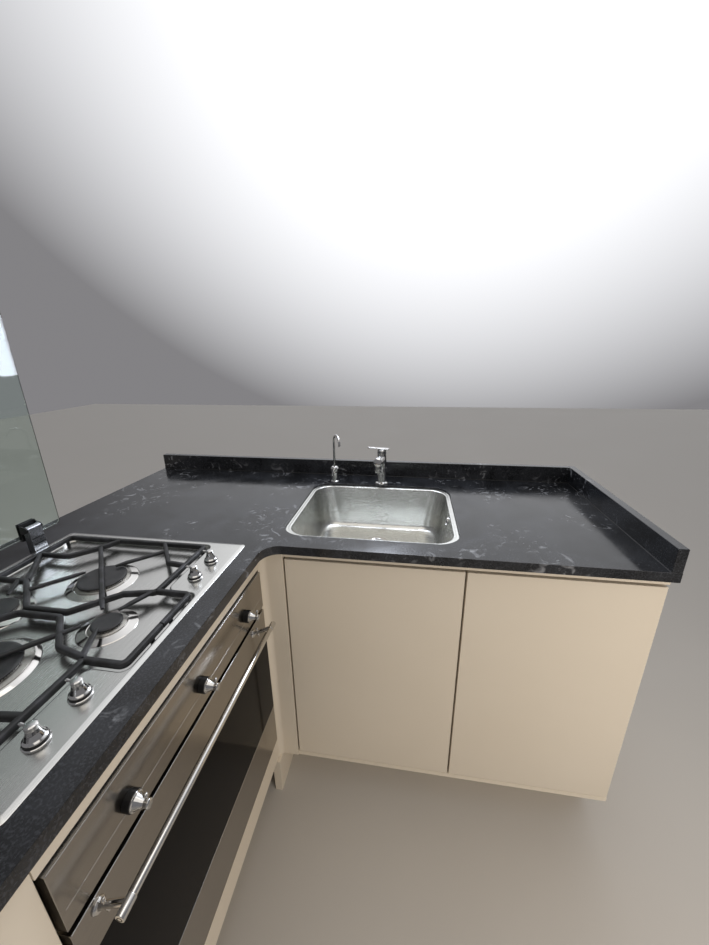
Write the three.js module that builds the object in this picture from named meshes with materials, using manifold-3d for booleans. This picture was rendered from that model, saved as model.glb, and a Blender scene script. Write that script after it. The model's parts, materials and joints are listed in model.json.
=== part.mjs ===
// A fitted galley unit of a canal barge: a stone worktop over an L of cupboards, with a sink let into it,
// two taps, a four-burner gas hob under a glass lid that stands open, and a built-in oven below it.
// Millimetres, Z up. Inside the group X is 0 at the right-hand bulkhead and falls to the left, Y is 0 at
// the wall behind the sink and falls towards the room, and Z is 0 at the floor. The group itself is moved
// so that the model's origin is under the middle of the worktop.
import * as THREE from "three";
import { mergeVertices } from "three/addons/utils/BufferGeometryUtils.js";
import Module from "manifold-3d";

const wasm = await Module();
wasm.setup();

// Driving dimensions
const WORKTOP = {
  top: 900, thick: 24, length: 1620, depth: 598, legFront: -944, legEnd: -1500, innerRadius: 45,
};
const UPSTAND = { thick: 22, height: 58 };
const BOARD = 18;
const THIN_BOARD = 8;
const CLEAR = 5;
const SEAT = 0.3;
const TOE = { height: 130, sinkFace: -488, ovenFace: -1060 };
const DOOR_FACE_Y = -576;
const OVEN_FACE_X = -964;
const LEG_FACE_X = -970;
const FILLER = { left: LEG_FACE_X, right: -909, cove: 18 };
const CORNER_FOOT = { left: -985, right: -961 };
const DOORS = { bottom: 150, top: 849, middle: -442.5, rightEdge: -3 };
const HOUSING = { right: -597, left: -1197, back: -1592, outside: -1608, postEnd: -595 };
const SINK = {
  x: -690, y: -331.8, width: 477.5, depth: 409.5, corner: 62, rim: 15.5, wall: 1.6, bowl: 156, sunk: 6,
  gap: 2, play: 0.5,
};
const HOB = { rear: -1494, front: -990, right: -605, left: -1197, rim: 3, floor: 888, midY: -905 };
const OVEN = {
  right: -600, left: -1193, bottom: 223, top: 821, panelBottom: 717, doorTop: 706, back: -1540,
};
const OVEN_DOOR = {
  thick: 20, skin: 6, glassLow: 360, glassHigh: 630, windowLow: 400, windowHigh: 600, windowSide: 20,
};
const CAVITY = { left: -1130, right: -664, bottom: 290, top: 655, back: -1490 };
const LID = { x: -1523, thick: 6, right: -605, left: -1197, bottom: 932, top: 1470, corner: 10 };

const UNDERSIDE = WORKTOP.top - WORKTOP.thick;
const SINK_RIM = { top: WORKTOP.top - SINK.sunk, low: WORKTOP.top - SINK.sunk - SINK.wall };

// Finishes
function finish(color, roughness, metalness = 0) {
  return new THREE.MeshStandardMaterial({ color, roughness, metalness });
}
const stone = finish(0x26272b, 0.25);
const cream = finish(0xd9cfbf, 0.5);
const creamInside = finish(0xe4dccd, 0.6);
const steel = finish(0xb3b1ab, 0.32, 1);
const chrome = finish(0xd6d8da, 0.08, 1);
const enamel = finish(0x1c1c1e, 0.55);
const darkEnamel = finish(0x2a2b2e, 0.5);
const glassBlack = finish(0x08090a, 0.05);
const plasticBlack = finish(0x111112, 0.4);
const plasticWhite = finish(0xd8d8d4, 0.45);
const glassClear = finish(0xcfe0da, 0.03);
glassClear.transparent = true;
glassClear.opacity = 0.3;

const unit = new THREE.Group();
unit.position.set(WORKTOP.length / 2, -WORKTOP.legEnd / 2, 0);

function add(name, geometry, material, parent = unit) {
  const mesh = new THREE.Mesh(geometry, material);
  mesh.name = name;
  parent.add(mesh);
  return mesh;
}

// Booleans on closed geometries
function solid(geometry) {
  const bare = geometry.index ? geometry.toNonIndexed() : geometry.clone();
  bare.deleteAttribute("normal");
  bare.deleteAttribute("uv");
  const merged = mergeVertices(bare, 1e-4);
  const vertProperties = merged.attributes.position.array;
  const triVerts = new Uint32Array(merged.index.array);
  return new wasm.Manifold(new wasm.Mesh({ numProp: 3, vertProperties, triVerts }));
}

function geometryOf(manifold) {
  const mesh = manifold.getMesh();
  const geometry = new THREE.BufferGeometry();
  geometry.setAttribute("position", new THREE.BufferAttribute(new Float32Array(mesh.vertProperties), 3));
  geometry.setIndex(new THREE.BufferAttribute(new Uint32Array(mesh.triVerts), 1));
  geometry.computeVertexNormals();
  return geometry;
}

function joined(...list) {
  return geometryOf(list.map(solid).reduce((all, next) => all.add(next)));
}
function cut(base, ...tools) {
  return geometryOf(tools.map(solid).reduce((left, tool) => left.subtract(tool), solid(base)));
}

// A box between two opposite corners
function block([x0, x1], [y0, y1], [z0, z1]) {
  const box = new THREE.BoxGeometry(Math.abs(x1 - x0), Math.abs(y1 - y0), Math.abs(z1 - z0));
  return box.translate((x0 + x1) / 2, (y0 + y1) / 2, (z0 + z1) / 2);
}

// A flat board as its own mesh, placed by its middle
function board(name, [x0, x1], [y0, y1], [z0, z1], material = cream) {
  const mesh = add(name, new THREE.BoxGeometry(x1 - x0, y1 - y0, z1 - z0), material);
  mesh.position.set((x0 + x1) / 2, (y0 + y1) / 2, (z0 + z1) / 2);
  return mesh;
}

const flat = (points) => new THREE.Shape(points.map(([x, y]) => new THREE.Vector2(x, y)));

// An outline in plan, raised from z0 to z1
function slab(shape, z0, z1, curveSegments = 6) {
  const depth = z1 - z0;
  const geometry = new THREE.ExtrudeGeometry(shape, { depth, bevelEnabled: false, curveSegments });
  return geometry.translate(0, 0, z0);
}

// A plan rectangle with round corners
function roundedRect(x0, x1, y0, y1, r) {
  const shape = new THREE.Shape();
  shape.moveTo(x0 + r, y0);
  shape.lineTo(x1 - r, y0);
  shape.absarc(x1 - r, y0 + r, r, -Math.PI / 2, 0);
  shape.lineTo(x1, y1 - r);
  shape.absarc(x1 - r, y1 - r, r, 0, Math.PI / 2);
  shape.lineTo(x0 + r, y1);
  shape.absarc(x0 + r, y1 - r, r, Math.PI / 2, Math.PI);
  shape.lineTo(x0, y0 + r);
  shape.absarc(x0 + r, y0 + r, r, Math.PI, 1.5 * Math.PI);
  return shape;
}

// A side outline of Y and Z, from x0 to x1, and one of X and Z, from y0 to y1
function acrossX(shape, x0, x1) {
  const depth = x1 - x0;
  const geometry = new THREE.ExtrudeGeometry(shape, { depth, bevelEnabled: false, curveSegments: 6 });
  return geometry.rotateY(Math.PI / 2).rotateX(Math.PI / 2).translate(x0, 0, 0);
}
function acrossY(shape, y0, y1) {
  const depth = y1 - y0;
  const geometry = new THREE.ExtrudeGeometry(shape, { depth, bevelEnabled: false, curveSegments: 8 });
  return geometry.rotateX(Math.PI / 2).translate(0, y1, 0);
}

// A round bar along Y between two ends
function barAlongY(radius, y0, y1, [x, z], segments = 20) {
  return new THREE.CylinderGeometry(radius, radius, y1 - y0, segments).translate(x, (y0 + y1) / 2, z);
}

// A turned piece standing on Z at (x, y); the profile is radius and height pairs from the axis to the axis
function turned(profile, [x, y, z] = [0, 0, 0], segments = 24) {
  const points = profile.map(([r, h]) => new THREE.Vector2(r, h));
  return new THREE.LatheGeometry(points, segments).rotateX(Math.PI / 2).translate(x, y, z);
}

const rod = (radius, z0, z1, [x, y], segments = 20) =>
  turned([[0, z0], [radius, z0], [radius, z1], [0, z1]], [x, y, 0], segments);

// A closed skin over horizontal rings that all have the same number of points
function loft(rings) {
  const n = rings[0].length;
  const position = [];
  const face = (a, b, c) => position.push(...a, ...b, ...c);
  for (let k = 0; k + 1 < rings.length; k++)
    for (let i = 0; i < n; i++) {
      const j = (i + 1) % n;
      face(rings[k][i], rings[k][j], rings[k + 1][j]);
      face(rings[k][i], rings[k + 1][j], rings[k + 1][i]);
    }
  const middle = (ring) => [0, 1, 2].map((axis) => ring.reduce((sum, p) => sum + p[axis], 0) / n);
  const low = rings[0];
  const high = rings[rings.length - 1];
  for (let i = 0; i < n; i++) {
    const j = (i + 1) % n;
    face(low[j], low[i], middle(low));
    face(high[i], high[j], middle(high));
  }
  const geometry = new THREE.BufferGeometry();
  geometry.setAttribute("position", new THREE.Float32BufferAttribute(position, 3));
  geometry.computeVertexNormals();
  return geometry;
}

// The points of a rounded rectangle round (x, y) at height z
function ring(x, y, width, depth, radius, z) {
  const shape = roundedRect(x - width / 2, x + width / 2, y - depth / 2, y + depth / 2, radius);
  const points = shape.getPoints(4);
  const open = points.filter((p, i) => i === 0 || p.distanceTo(points[i - 1]) > 1e-6);
  if (open[0].distanceTo(open[open.length - 1]) < 1e-6) open.pop();
  return open.map((p) => [p.x, p.y, z]);
}

// Worktop and upstands
function worktopOutline() {
  const { length, depth, legFront, legEnd, innerRadius: r } = WORKTOP;
  const shape = new THREE.Shape();
  shape.moveTo(-length, legEnd);
  shape.lineTo(legFront, legEnd);
  shape.lineTo(legFront, -depth - r);
  shape.absarc(legFront + r, -depth - r, r, Math.PI, Math.PI / 2, true);
  shape.lineTo(0, -depth);
  shape.lineTo(0, 0);
  shape.lineTo(-length, 0);
  shape.closePath();
  return shape;
}

const TAPS = { filter: { x: -866, y: -96, hole: 7 }, mixer: { x: -690, y: -99, hole: 17.5 } };
const HOB_CUT = { side: 16, end: 10 };

// The plan outline of the sink's rim, grown all round
function sinkOutline(grow) {
  const w = SINK.width / 2 + grow;
  const d = SINK.depth / 2 + grow;
  return roundedRect(SINK.x - w, SINK.x + w, SINK.y - d, SINK.y + d, SINK.corner + grow);
}

// The stone has a hole for the bowl with a rebate round it, in which the sink's rim lies
function makeWorktop() {
  const past = 1;
  const through = [UNDERSIDE - past, WORKTOP.top + past];
  const sinkCut = sinkOutline(SINK.wall + SINK.gap - SINK.rim);
  const hobCut = roundedRect(
    HOB.rear + HOB_CUT.end, HOB.front - HOB_CUT.end, HOB.left + HOB_CUT.side, HOB.right - HOB_CUT.side, 8,
  );
  const cuts = [sinkCut, hobCut].map((shape) => slab(shape, ...through));
  cuts.push(slab(sinkOutline(SINK.play), SINK_RIM.low, WORKTOP.top + past));
  const holes = Object.values(TAPS).map(({ x, y, hole }) => rod(hole, ...through, [x, y]));
  add("worktop", cut(slab(worktopOutline(), UNDERSIDE, WORKTOP.top, 8), ...cuts, ...holes), stone);
}

function makeUpstands() {
  const top = WORKTOP.top + UPSTAND.height;
  board("back_upstand", [-WORKTOP.length, -UPSTAND.thick], [-UPSTAND.thick, 0], [WORKTOP.top, top], stone);
  board("side_upstand", [-UPSTAND.thick, 0], [-WORKTOP.depth, 0], [WORKTOP.top, top], stone);
}

// Cupboards along the wall
const CARCASS_FRONT_Y = DOOR_FACE_Y + BOARD + CLEAR;
const FLOOR_TOP = TOE.height + 15;
const HINGE = { heights: [230, 750], width: 16, tall: 44, length: 56 };

// Hinge arms that stand off a side board and reach to just behind the door
function hingeArms(place) {
  return HINGE.heights.map((z) => place([z - HINGE.tall / 2, z + HINGE.tall / 2]));
}

function makeWallCupboards() {
  const back = -THIN_BOARD;
  const doorBack = DOOR_FACE_Y + BOARD;
  const armY = [doorBack + SEAT, doorBack + SEAT + HINGE.length];
  const sideOutline = [
    [TOE.sinkFace + BOARD, 0], [back, 0], [back, UNDERSIDE], [CARCASS_FRONT_Y, UNDERSIDE],
    [CARCASS_FRONT_Y, FLOOR_TOP], [TOE.sinkFace + BOARD, FLOOR_TOP],
  ];
  const rightArms = hingeArms((z) => block([-BOARD - HINGE.width, -BOARD + 1], armY, z));
  add("right_side_panel", joined(acrossX(flat(sideOutline), -BOARD, 0), ...rightArms), cream);

  const partition = [DOORS.middle - BOARD / 2, DOORS.middle + BOARD / 2];
  const partitionBoard = block(partition, [CARCASS_FRONT_Y, back], [FLOOR_TOP, UNDERSIDE]);
  const leftArms = hingeArms((z) => block([partition[0] - HINGE.width, partition[0] + 1], armY, z));
  add("sink_partition", joined(partitionBoard, ...leftArms), creamInside);

  const lip = DOOR_FACE_Y + 3;
  const postBack = FILLER.left - BOARD;
  const floorOutline = flat([
    [HOUSING.back, HOUSING.postEnd], [postBack, HOUSING.postEnd], [postBack, doorBack],
    [FILLER.right, doorBack], [FILLER.right, lip], [0, lip],
    [0, TOE.sinkFace + BOARD], [-BOARD, TOE.sinkFace + BOARD], [-BOARD, back], [HOUSING.back, back],
  ]);
  add("cupboard_floor", slab(floorOutline, TOE.height, FLOOR_TOP), creamInside);
  board("front_rail", [FILLER.right, 0], [lip, CARCASS_FRONT_Y], [DOORS.top + CLEAR, UNDERSIDE]);
  board("back_panel", [HOUSING.outside, 0], [back, 0], [0, UNDERSIDE], creamInside);
  board("sink_plinth", [CORNER_FOOT.right, -BOARD], [TOE.sinkFace, TOE.sinkFace + BOARD], [0, TOE.height]);
}

// The coved post in the inner corner and the board below it that ends the toe space
function makeCorner() {
  const { left, right, cove } = FILLER;
  const shape = new THREE.Shape();
  shape.moveTo(left - BOARD, HOUSING.postEnd);
  shape.lineTo(left, HOUSING.postEnd);
  shape.lineTo(left, DOOR_FACE_Y - cove);
  shape.absarc(left + cove, DOOR_FACE_Y - cove, cove, Math.PI, Math.PI / 2, true);
  shape.lineTo(right, DOOR_FACE_Y);
  shape.lineTo(right, DOOR_FACE_Y + BOARD);
  shape.lineTo(left - BOARD, DOOR_FACE_Y + BOARD);
  shape.closePath();
  add("corner_post", slab(shape, TOE.height, UNDERSIDE, 6), cream);
  const footY = [HOUSING.right - 9, TOE.sinkFace + BOARD];
  board("corner_foot", [CORNER_FOOT.left, CORNER_FOOT.right], footY, [0, TOE.height]);
}

// The short leg: oven housing and end cupboard
const LEG_DOOR_BACK_X = LEG_FACE_X - BOARD;
const CARCASS_FRONT_X = LEG_DOOR_BACK_X - CLEAR - 2;

function housingSide(name, y0, y1, material) {
  const outline = [
    [HOUSING.back, 0], [TOE.ovenFace - BOARD, 0], [TOE.ovenFace - BOARD, TOE.height],
    [CARCASS_FRONT_X, TOE.height], [CARCASS_FRONT_X, UNDERSIDE], [HOUSING.back, UNDERSIDE],
  ];
  add(name, acrossY(flat(outline), y0, y1), material);
}

const END = { panel: WORKTOP.legEnd + 2, inner: WORKTOP.legEnd + 2 + BOARD };
const END_DOOR = { left: END.inner + CLEAR, right: OVEN.left - CLEAR, top: UNDERSIDE - CLEAR };

function makeLeg() {
  housingSide("oven_right_panel", HOUSING.right - BOARD, HOUSING.right, creamInside);
  housingSide("oven_left_panel", HOUSING.left, HOUSING.left + BOARD, creamInside);
  const shelf = [OVEN.bottom - BOARD, OVEN.bottom];
  const between = [HOUSING.left + BOARD, HOUSING.right - BOARD];
  board("oven_shelf", [HOUSING.back, CARCASS_FRONT_X], between, shelf, creamInside);
  const faceX = [CARCASS_FRONT_X, LEG_FACE_X];
  board("oven_top_rail", faceX, [HOUSING.left, HOUSING.postEnd], [OVEN.top + 3, UNDERSIDE]);
  board("oven_bottom_rail", faceX, [HOUSING.left, HOUSING.postEnd], [TOE.height, OVEN.bottom - 8]);
  const plinthY = [END.inner, HOUSING.right - BOARD];
  board("leg_plinth", [TOE.ovenFace - BOARD, TOE.ovenFace], plinthY, [0, TOE.height]);
  board("leg_back_panel", [HOUSING.outside, HOUSING.back], [END.inner, -THIN_BOARD], [0, UNDERSIDE]);
  const endFloor = [
    [HOUSING.back, LEG_DOOR_BACK_X + 8], [END.inner, HOUSING.left], [TOE.height, FLOOR_TOP],
  ];
  board("end_cupboard_floor", ...endFloor, creamInside);

  const endOutline = [
    [HOUSING.outside, 0], [TOE.ovenFace, 0], [TOE.ovenFace, TOE.height], [LEG_FACE_X, TOE.height],
    [LEG_FACE_X, UNDERSIDE], [HOUSING.outside, UNDERSIDE],
  ];
  const armX = [LEG_DOOR_BACK_X - SEAT - HINGE.length, LEG_DOOR_BACK_X - SEAT];
  const arms = hingeArms((z) => block(armX, [END.inner - 1, END.inner + HINGE.width], z));
  add("end_panel", joined(acrossY(flat(endOutline), END.panel, END.inner), ...arms), cream);
}

// Doors, closed
function makeDoors() {
  const y = [DOOR_FACE_Y, DOOR_FACE_Y + BOARD];
  const z = [DOORS.bottom, DOORS.top];
  board("sink_door", [FILLER.right + CLEAR, DOORS.middle - CLEAR / 2], y, z);
  board("right_door", [DOORS.middle + CLEAR / 2, DOORS.rightEdge], y, z);
  const endDoorZ = [DOORS.bottom, END_DOOR.top];
  board("end_door", [LEG_DOOR_BACK_X, LEG_FACE_X], [END_DOOR.left, END_DOOR.right], endDoorZ);
}

// Sink: a pressed bowl hanging by its rim in the worktop's rebate, with its waste and trap
const DRAIN = { x: SINK.x, y: SINK.y + 60, hole: 34, flange: 43 };
const BOWL_FLOOR = WORKTOP.top - SINK.bowl;
const BOWL = { corner: SINK.corner - SINK.rim + 8, shoulder: WORKTOP.top - 90, foot: BOWL_FLOOR + 22 };

// Rings of the bowl from its floor to its mouth: at each height its inset and how much rounder it is
function bowlRings(grow, z) {
  const sections = [[40, 14, z.floor], [18, 8, z.foot], [10, 4, z.shoulder], [0, 0, z.mouth]];
  return sections.map(([inset, rounder, height]) => {
    const less = 2 * (SINK.rim + inset - grow);
    const corner = BOWL.corner + rounder + grow;
    return ring(SINK.x, SINK.y, SINK.width - less, SINK.depth - less, corner, height);
  });
}

function makeSink() {
  const outer = bowlRings(SINK.wall, {
    mouth: SINK_RIM.top - 0.5, shoulder: BOWL.shoulder, foot: BOWL.foot, floor: BOWL_FLOOR,
  });
  const inner = bowlRings(0, {
    mouth: SINK_RIM.top + 1, shoulder: BOWL.shoulder, foot: BOWL.foot + SINK.wall,
    floor: BOWL_FLOOR + SINK.wall,
  });
  const rim = slab(sinkOutline(0), SINK_RIM.low, SINK_RIM.top);
  const drain = rod(DRAIN.hole, BOWL_FLOOR - 5, BOWL_FLOOR + 5, [DRAIN.x, DRAIN.y]);
  add("sink_bowl", cut(joined(rim, loft(outer)), loft(inner), drain), steel);

  const at = [DRAIN.x, DRAIN.y, BOWL_FLOOR];
  const neck = DRAIN.hole - 1;
  const strainer = [
    [0, -8], [neck, -8], [neck, SINK.wall], [DRAIN.flange, SINK.wall], [DRAIN.flange - 2, 3.4],
    [30, 3.4], [26, 0], [8, -1], [7, 5], [0, 6],
  ];
  add("sink_strainer", turned(strainer, at), chrome);
  const trapTop = BOWL_FLOOR - 8;
  const outletDrop = 100;
  const bottle = [
    [0, -150], [24, -150], [27, -144], [27, -80], [17, -74], [17, -22], [40, -14], [40, 0], [0, 0],
  ];
  const body = turned(bottle, [DRAIN.x, DRAIN.y, trapTop], 24);
  const outlet = barAlongY(16, DRAIN.y, -THIN_BOARD, [DRAIN.x, trapTop - outletDrop]);
  add("sink_trap", joined(body, outlet), plasticWhite);
}

// Taps
const MIXER = {
  columnTop: 960, sleeveTop: 1012, column: 15.5, spigot: 10, spoutZ: 995, reach: 108,
  nozzle: 11.5, nozzleLow: 970, nozzleHigh: 1004, nozzleBack: 16,
  rise: THREE.MathUtils.degToRad(7), turn: THREE.MathUtils.degToRad(-3),
  leverLean: THREE.MathUtils.degToRad(3.5), leverThick: 4,
};
const FILTER = { bodyTop: 958, tube: 4.2, bend: 31, bendZ: 1048, tipDrop: 2, heading: Math.PI / 6 };

function makeMixer() {
  const { x, y, hole } = TAPS.mixer;
  const { top } = WORKTOP;
  const shank = hole - 0.5;
  const body = [
    [0, UNDERSIDE - 40], [shank - 4, UNDERSIDE - 40], [shank - 4, UNDERSIDE - 14], [30, UNDERSIDE - 14],
    [30, UNDERSIDE], [shank, UNDERSIDE], [shank, top], [25, top], [25, top + 3], [22, top + 6],
    [MIXER.column, top + 7], [MIXER.column, MIXER.columnTop], [MIXER.spigot, MIXER.columnTop],
    [MIXER.spigot, MIXER.sleeveTop + SEAT], [0, MIXER.sleeveTop + SEAT],
  ];
  add("mixer_body", turned(body, [x, y, 0]), chrome);

  const sleeve = rod(MIXER.column, MIXER.columnTop + SEAT, MIXER.sleeveTop, [x, y]);
  const bore = rod(MIXER.spigot + 0.4, MIXER.columnTop, MIXER.sleeveTop + 1, [x, y]);
  const arm = new THREE.CylinderGeometry(14.5, 15.3, MIXER.reach, 24).translate(0, -MIXER.reach / 2, 0);
  arm.rotateX(-MIXER.rise).translate(0, 0, MIXER.spoutZ);
  const nozzle = rod(MIXER.nozzle, MIXER.nozzleLow, MIXER.nozzleHigh, [0, MIXER.nozzleBack - MIXER.reach]);
  const spout = [arm, nozzle].map((piece) => piece.rotateZ(MIXER.turn).translate(x, y, 0));
  add("mixer_spout", cut(joined(sleeve, ...spout), bore), chrome);

  const capProfile = [[0, 0], [MIXER.column, 0], [MIXER.column, 12], [13, 16], [0, 17]];
  const cap = turned(capProfile, [x, y, MIXER.sleeveTop + SEAT]);
  const paddle = new THREE.Shape();
  paddle.moveTo(22, -11);
  paddle.absarc(12, 0, 14.5, -0.85, 0.85);
  paddle.lineTo(-40, 8);
  paddle.absarc(-44, 0, 8, 1.2, -1.2 + 2 * Math.PI);
  paddle.closePath();
  const plate = slab(paddle, 0, MIXER.leverThick).rotateY(MIXER.leverLean);
  plate.translate(x, y, MIXER.sleeveTop + 16);
  add("mixer_lever", joined(cap, plate), chrome);
}

function makeFilterTap() {
  const { x, y, hole } = TAPS.filter;
  const { top } = WORKTOP;
  const shank = hole - 0.5;
  const profile = [
    [0, UNDERSIDE - 30], [shank, UNDERSIDE - 30], [shank, UNDERSIDE - 10], [14, UNDERSIDE - 10],
    [14, UNDERSIDE], [shank, UNDERSIDE], [shank, top], [17, top], [17, top + 2], [11, top + 5],
    [11, FILTER.bodyTop - 16], [13.5, FILTER.bodyTop - 10], [11, FILTER.bodyTop - 2], [6, FILTER.bodyTop],
    [0, FILTER.bodyTop],
  ];
  const lever = new THREE.BoxGeometry(7, 6, 30).translate(0, 0, -15).rotateX(-0.5);
  lever.translate(x - 4, y - 12, FILTER.bodyTop - 6);
  add("filter_tap_body", joined(turned(profile, [x, y, 0], 24), lever), chrome);

  const at = (reach, z) =>
    new THREE.Vector3(x + Math.sin(FILTER.heading) * reach, y - Math.cos(FILTER.heading) * reach, z);
  const points = [at(0, FILTER.bodyTop), at(0, (FILTER.bodyTop + FILTER.bendZ) / 2)];
  for (let i = 0; i <= 12; i++) {
    const a = Math.PI * (1 - i / 12);
    points.push(at(FILTER.bend * (1 + Math.cos(a)), FILTER.bendZ + FILTER.bend * Math.sin(a)));
  }
  points.push(at(2 * FILTER.bend, FILTER.bendZ - FILTER.tipDrop));
  const section = new THREE.Shape().absarc(0, 0, FILTER.tube, 0, 2 * Math.PI);
  const extrudePath = new THREE.CatmullRomCurve3(points);
  const tube = new THREE.ExtrudeGeometry(section, { steps: 26, curveSegments: 4, extrudePath });
  add("filter_tap_spout", tube, chrome);
}

// Hob
const DECK = { line: -1072, bulge: -1003, bulgeRight: -808, bulgeLeft: -1002, side: 16, rear: 16 };

function trayRecess(grow) {
  const x0 = HOB.rear + DECK.rear - grow;
  const x1 = DECK.line + grow;
  const x2 = DECK.bulge + grow;
  const y0 = HOB.left + DECK.side - grow;
  const y1 = HOB.right - DECK.side + grow;
  const y2 = DECK.bulgeLeft - grow;
  const y3 = DECK.bulgeRight + grow;
  const bevel = 6;
  return flat([
    [x0, y0], [x1, y0], [x1, y2], [x2 - bevel, y2], [x2, y2 + bevel], [x2, y3 - bevel], [x2 - bevel, y3],
    [x1, y3], [x1, y1], [x0, y1],
  ]);
}

// name, place, and the radii of the pressed dish, the burner's base and its cap
const BURNERS = [
  { name: "right", x: -1243, y: -780, dish: 69, base: 54, cap: 47 },
  { name: "front", x: -1122, y: -905, dish: 50, base: 33, cap: 26 },
  { name: "rear", x: -1365, y: -905, dish: 60, base: 44, cap: 37 },
  { name: "left", x: -1243, y: -1030, dish: 81, base: 72, cap: 60 },
];
const CAP_Z = { low: 896.5, high: 901.5 };
const HOB_KNOBS = [
  { name: "hob_knob_1", y: -691 }, { name: "hob_knob_2", y: -757 },
  { name: "hob_knob_3", y: -1047 }, { name: "hob_knob_4", y: -1112 },
];
const HOB_KNOB = {
  x: -1037, ring: 16, bell: 13.5, stem: 6.5, tall: 29, leverZ: 25, lever: 18.5, leverRadius: 2,
};

function makeHob() {
  const inset = (end, side, r) =>
    roundedRect(HOB.rear + end, HOB.front - end, HOB.left + side, HOB.right - side, r);
  const plate = slab(inset(0, 0, 10), WORKTOP.top, WORKTOP.top + HOB.rim);
  const skirt = slab(inset(12, 18, 6), HOB.floor - 22, WORKTOP.top + 1);
  const under = slab(inset(14, 20, 5), HOB.floor - 30, HOB.floor - 2);
  const deckUnder = slab(inset(14, 20, 5), HOB.floor - 3, WORKTOP.top + 1);
  const recess = slab(trayRecess(0), HOB.floor, WORKTOP.top + HOB.rim + 1);
  const recessWall = slab(trayRecess(2), HOB.floor - 3, WORKTOP.top + 1);
  const hollow = solid(deckUnder).subtract(solid(recessWall));
  const outside = solid(plate).add(solid(skirt)).subtract(solid(under)).subtract(hollow);
  add("hob_tray", geometryOf(outside.subtract(solid(recess))), steel);

  for (const { name, x, y, dish, base, cap } of BURNERS) {
    const crown = cap - 3;
    const seat = [
      [0, 0], [dish, 0], [dish - 6, 1.2], [base, 2.5], [cap, 3], [crown, 4],
      [crown, CAP_Z.low - HOB.floor], [0, CAP_Z.low - HOB.floor],
    ];
    add("burner_base_" + name, turned(seat, [x, y, HOB.floor]), steel);
    const { low, high } = CAP_Z;
    const disc = [[0, low], [cap, low], [cap, high - 3], [cap - 5, high], [0, high]];
    add("burner_cap_" + name, turned(disc, [x, y, 0]), enamel);
  }
}

// Pan supports: cast bars of one width that follow paths in plan; the left one mirrors the right one.
// The ties are as deep as the frame, and the fingers over the burners are shallower.
const BAR = { width: 10, high: 911, low: 899, fingerLow: 903.3 };
const FRAME = [
  [-1083, -637], [-1462, -637], [-1462, -824], [-1384, -824], [-1298, -898], [-1210, -898], [-1146, -834],
  [-1083, -820],
];
const SUPPORT_END = -903.5;
const TIES = {
  frontEdge: [[-1086, -817], [-1012, -817], [-1012, SUPPORT_END]],
  rearEdge: [[-1459, -821], [-1462, SUPPORT_END]],
  rearBrace: [[-1461, -722], [-1385, -722], [-1340, -676], [-1318, -639]],
  rearTie: [[-1459, -725], [-1385, -821]],
  frontBrace: [[-1190, -639], [-1128, -716], [-1085, -721]],
};
const FINGERS = {
  longFinger: [[-1341, -674], [-1172, -858], [-1150, -882]],
  rearFinger: [[-1349, -851], [-1284, -778]],
  frontFinger: [[-1163, -670], [-1238, -746]],
  smallFinger: [[-1091, -823], [-1117, -880]],
  farFinger: [[-1404, -823], [-1374, -870]],
};
const FEET = [[-1462, -650], [-1083, -650], [-1462, -880], [-1012, -880]];

// The two edges of a band of the bar's width along a path, with mitred turns
function bandEdges(path, closed) {
  const n = path.length;
  const edges = [[], []];
  path.forEach(([x, y], i) => {
    const before = closed || i > 0 ? path[(i + n - 1) % n] : null;
    const after = closed || i < n - 1 ? path[(i + 1) % n] : null;
    const way = ([ax, ay], [bx, by]) => new THREE.Vector2(bx - ax, by - ay).normalize();
    const into = before ? way(before, [x, y]) : way([x, y], after);
    const out = after ? way([x, y], after) : into;
    const across = new THREE.Vector2(-(into.y + out.y), into.x + out.x).normalize();
    const reach = BAR.width / 2 / (across.y * out.x - across.x * out.y);
    edges[0].push([x + across.x * reach, y + across.y * reach]);
    edges[1].push([x - across.x * reach, y - across.y * reach]);
  });
  return edges;
}

function frameBand(path) {
  const [one, other] = bandEdges(path, true);
  const area = (edge) => Math.abs(THREE.ShapeUtils.area(edge.map(([x, y]) => ({ x, y }))));
  const [outer, inner] = area(one) > area(other) ? [one, other] : [other, one];
  const shape = flat(outer);
  shape.holes.push(flat(inner.reverse()));
  return slab(shape, BAR.low, BAR.high);
}

function limbBand(path, low) {
  const [one, other] = bandEdges(path, false);
  return slab(flat([...one, ...other.reverse()]), low, BAR.high);
}

function makePanSupports() {
  const mirrored = (y) => 2 * HOB.midY - y;
  for (const [name, side] of [["pan_support_right", (y) => y], ["pan_support_left", mirrored]]) {
    const place = (path) => path.map(([x, y]) => [x, side(y)]);
    const ties = Object.values(TIES).map((path) => limbBand(place(path), BAR.low));
    const fingers = Object.values(FINGERS).map((path) => limbBand(place(path), BAR.fingerLow));
    const feet = FEET.map(([x, y]) =>
      block([x - 4, x + 4], [side(y) - 4, side(y) + 4], [HOB.floor, BAR.low + 2]));
    add(name, joined(frameBand(place(FRAME)), ...ties, ...fingers, ...feet), enamel);
  }
}

function makeHobKnobs() {
  const { x, ring, bell, stem, tall, leverZ, lever, leverRadius } = HOB_KNOB;
  const profile = [
    [0, 0], [ring, 0], [ring, 4], [bell + 1, 4], [bell + 1, 5], [bell, 5], [9.5, 10], [stem + 0.8, 16],
    [stem, 20], [stem, tall - 1], [stem - 1, tall], [0, tall],
  ];
  const z = WORKTOP.top + HOB.rim;
  for (const { name, y } of HOB_KNOBS) {
    const arm = new THREE.CylinderGeometry(leverRadius, leverRadius, lever, 10).rotateZ(Math.PI / 2);
    arm.translate(x - lever / 2, y, z + leverZ);
    add(name, joined(turned(profile, [x, y, z], 16), arm), chrome);
  }
}

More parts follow.
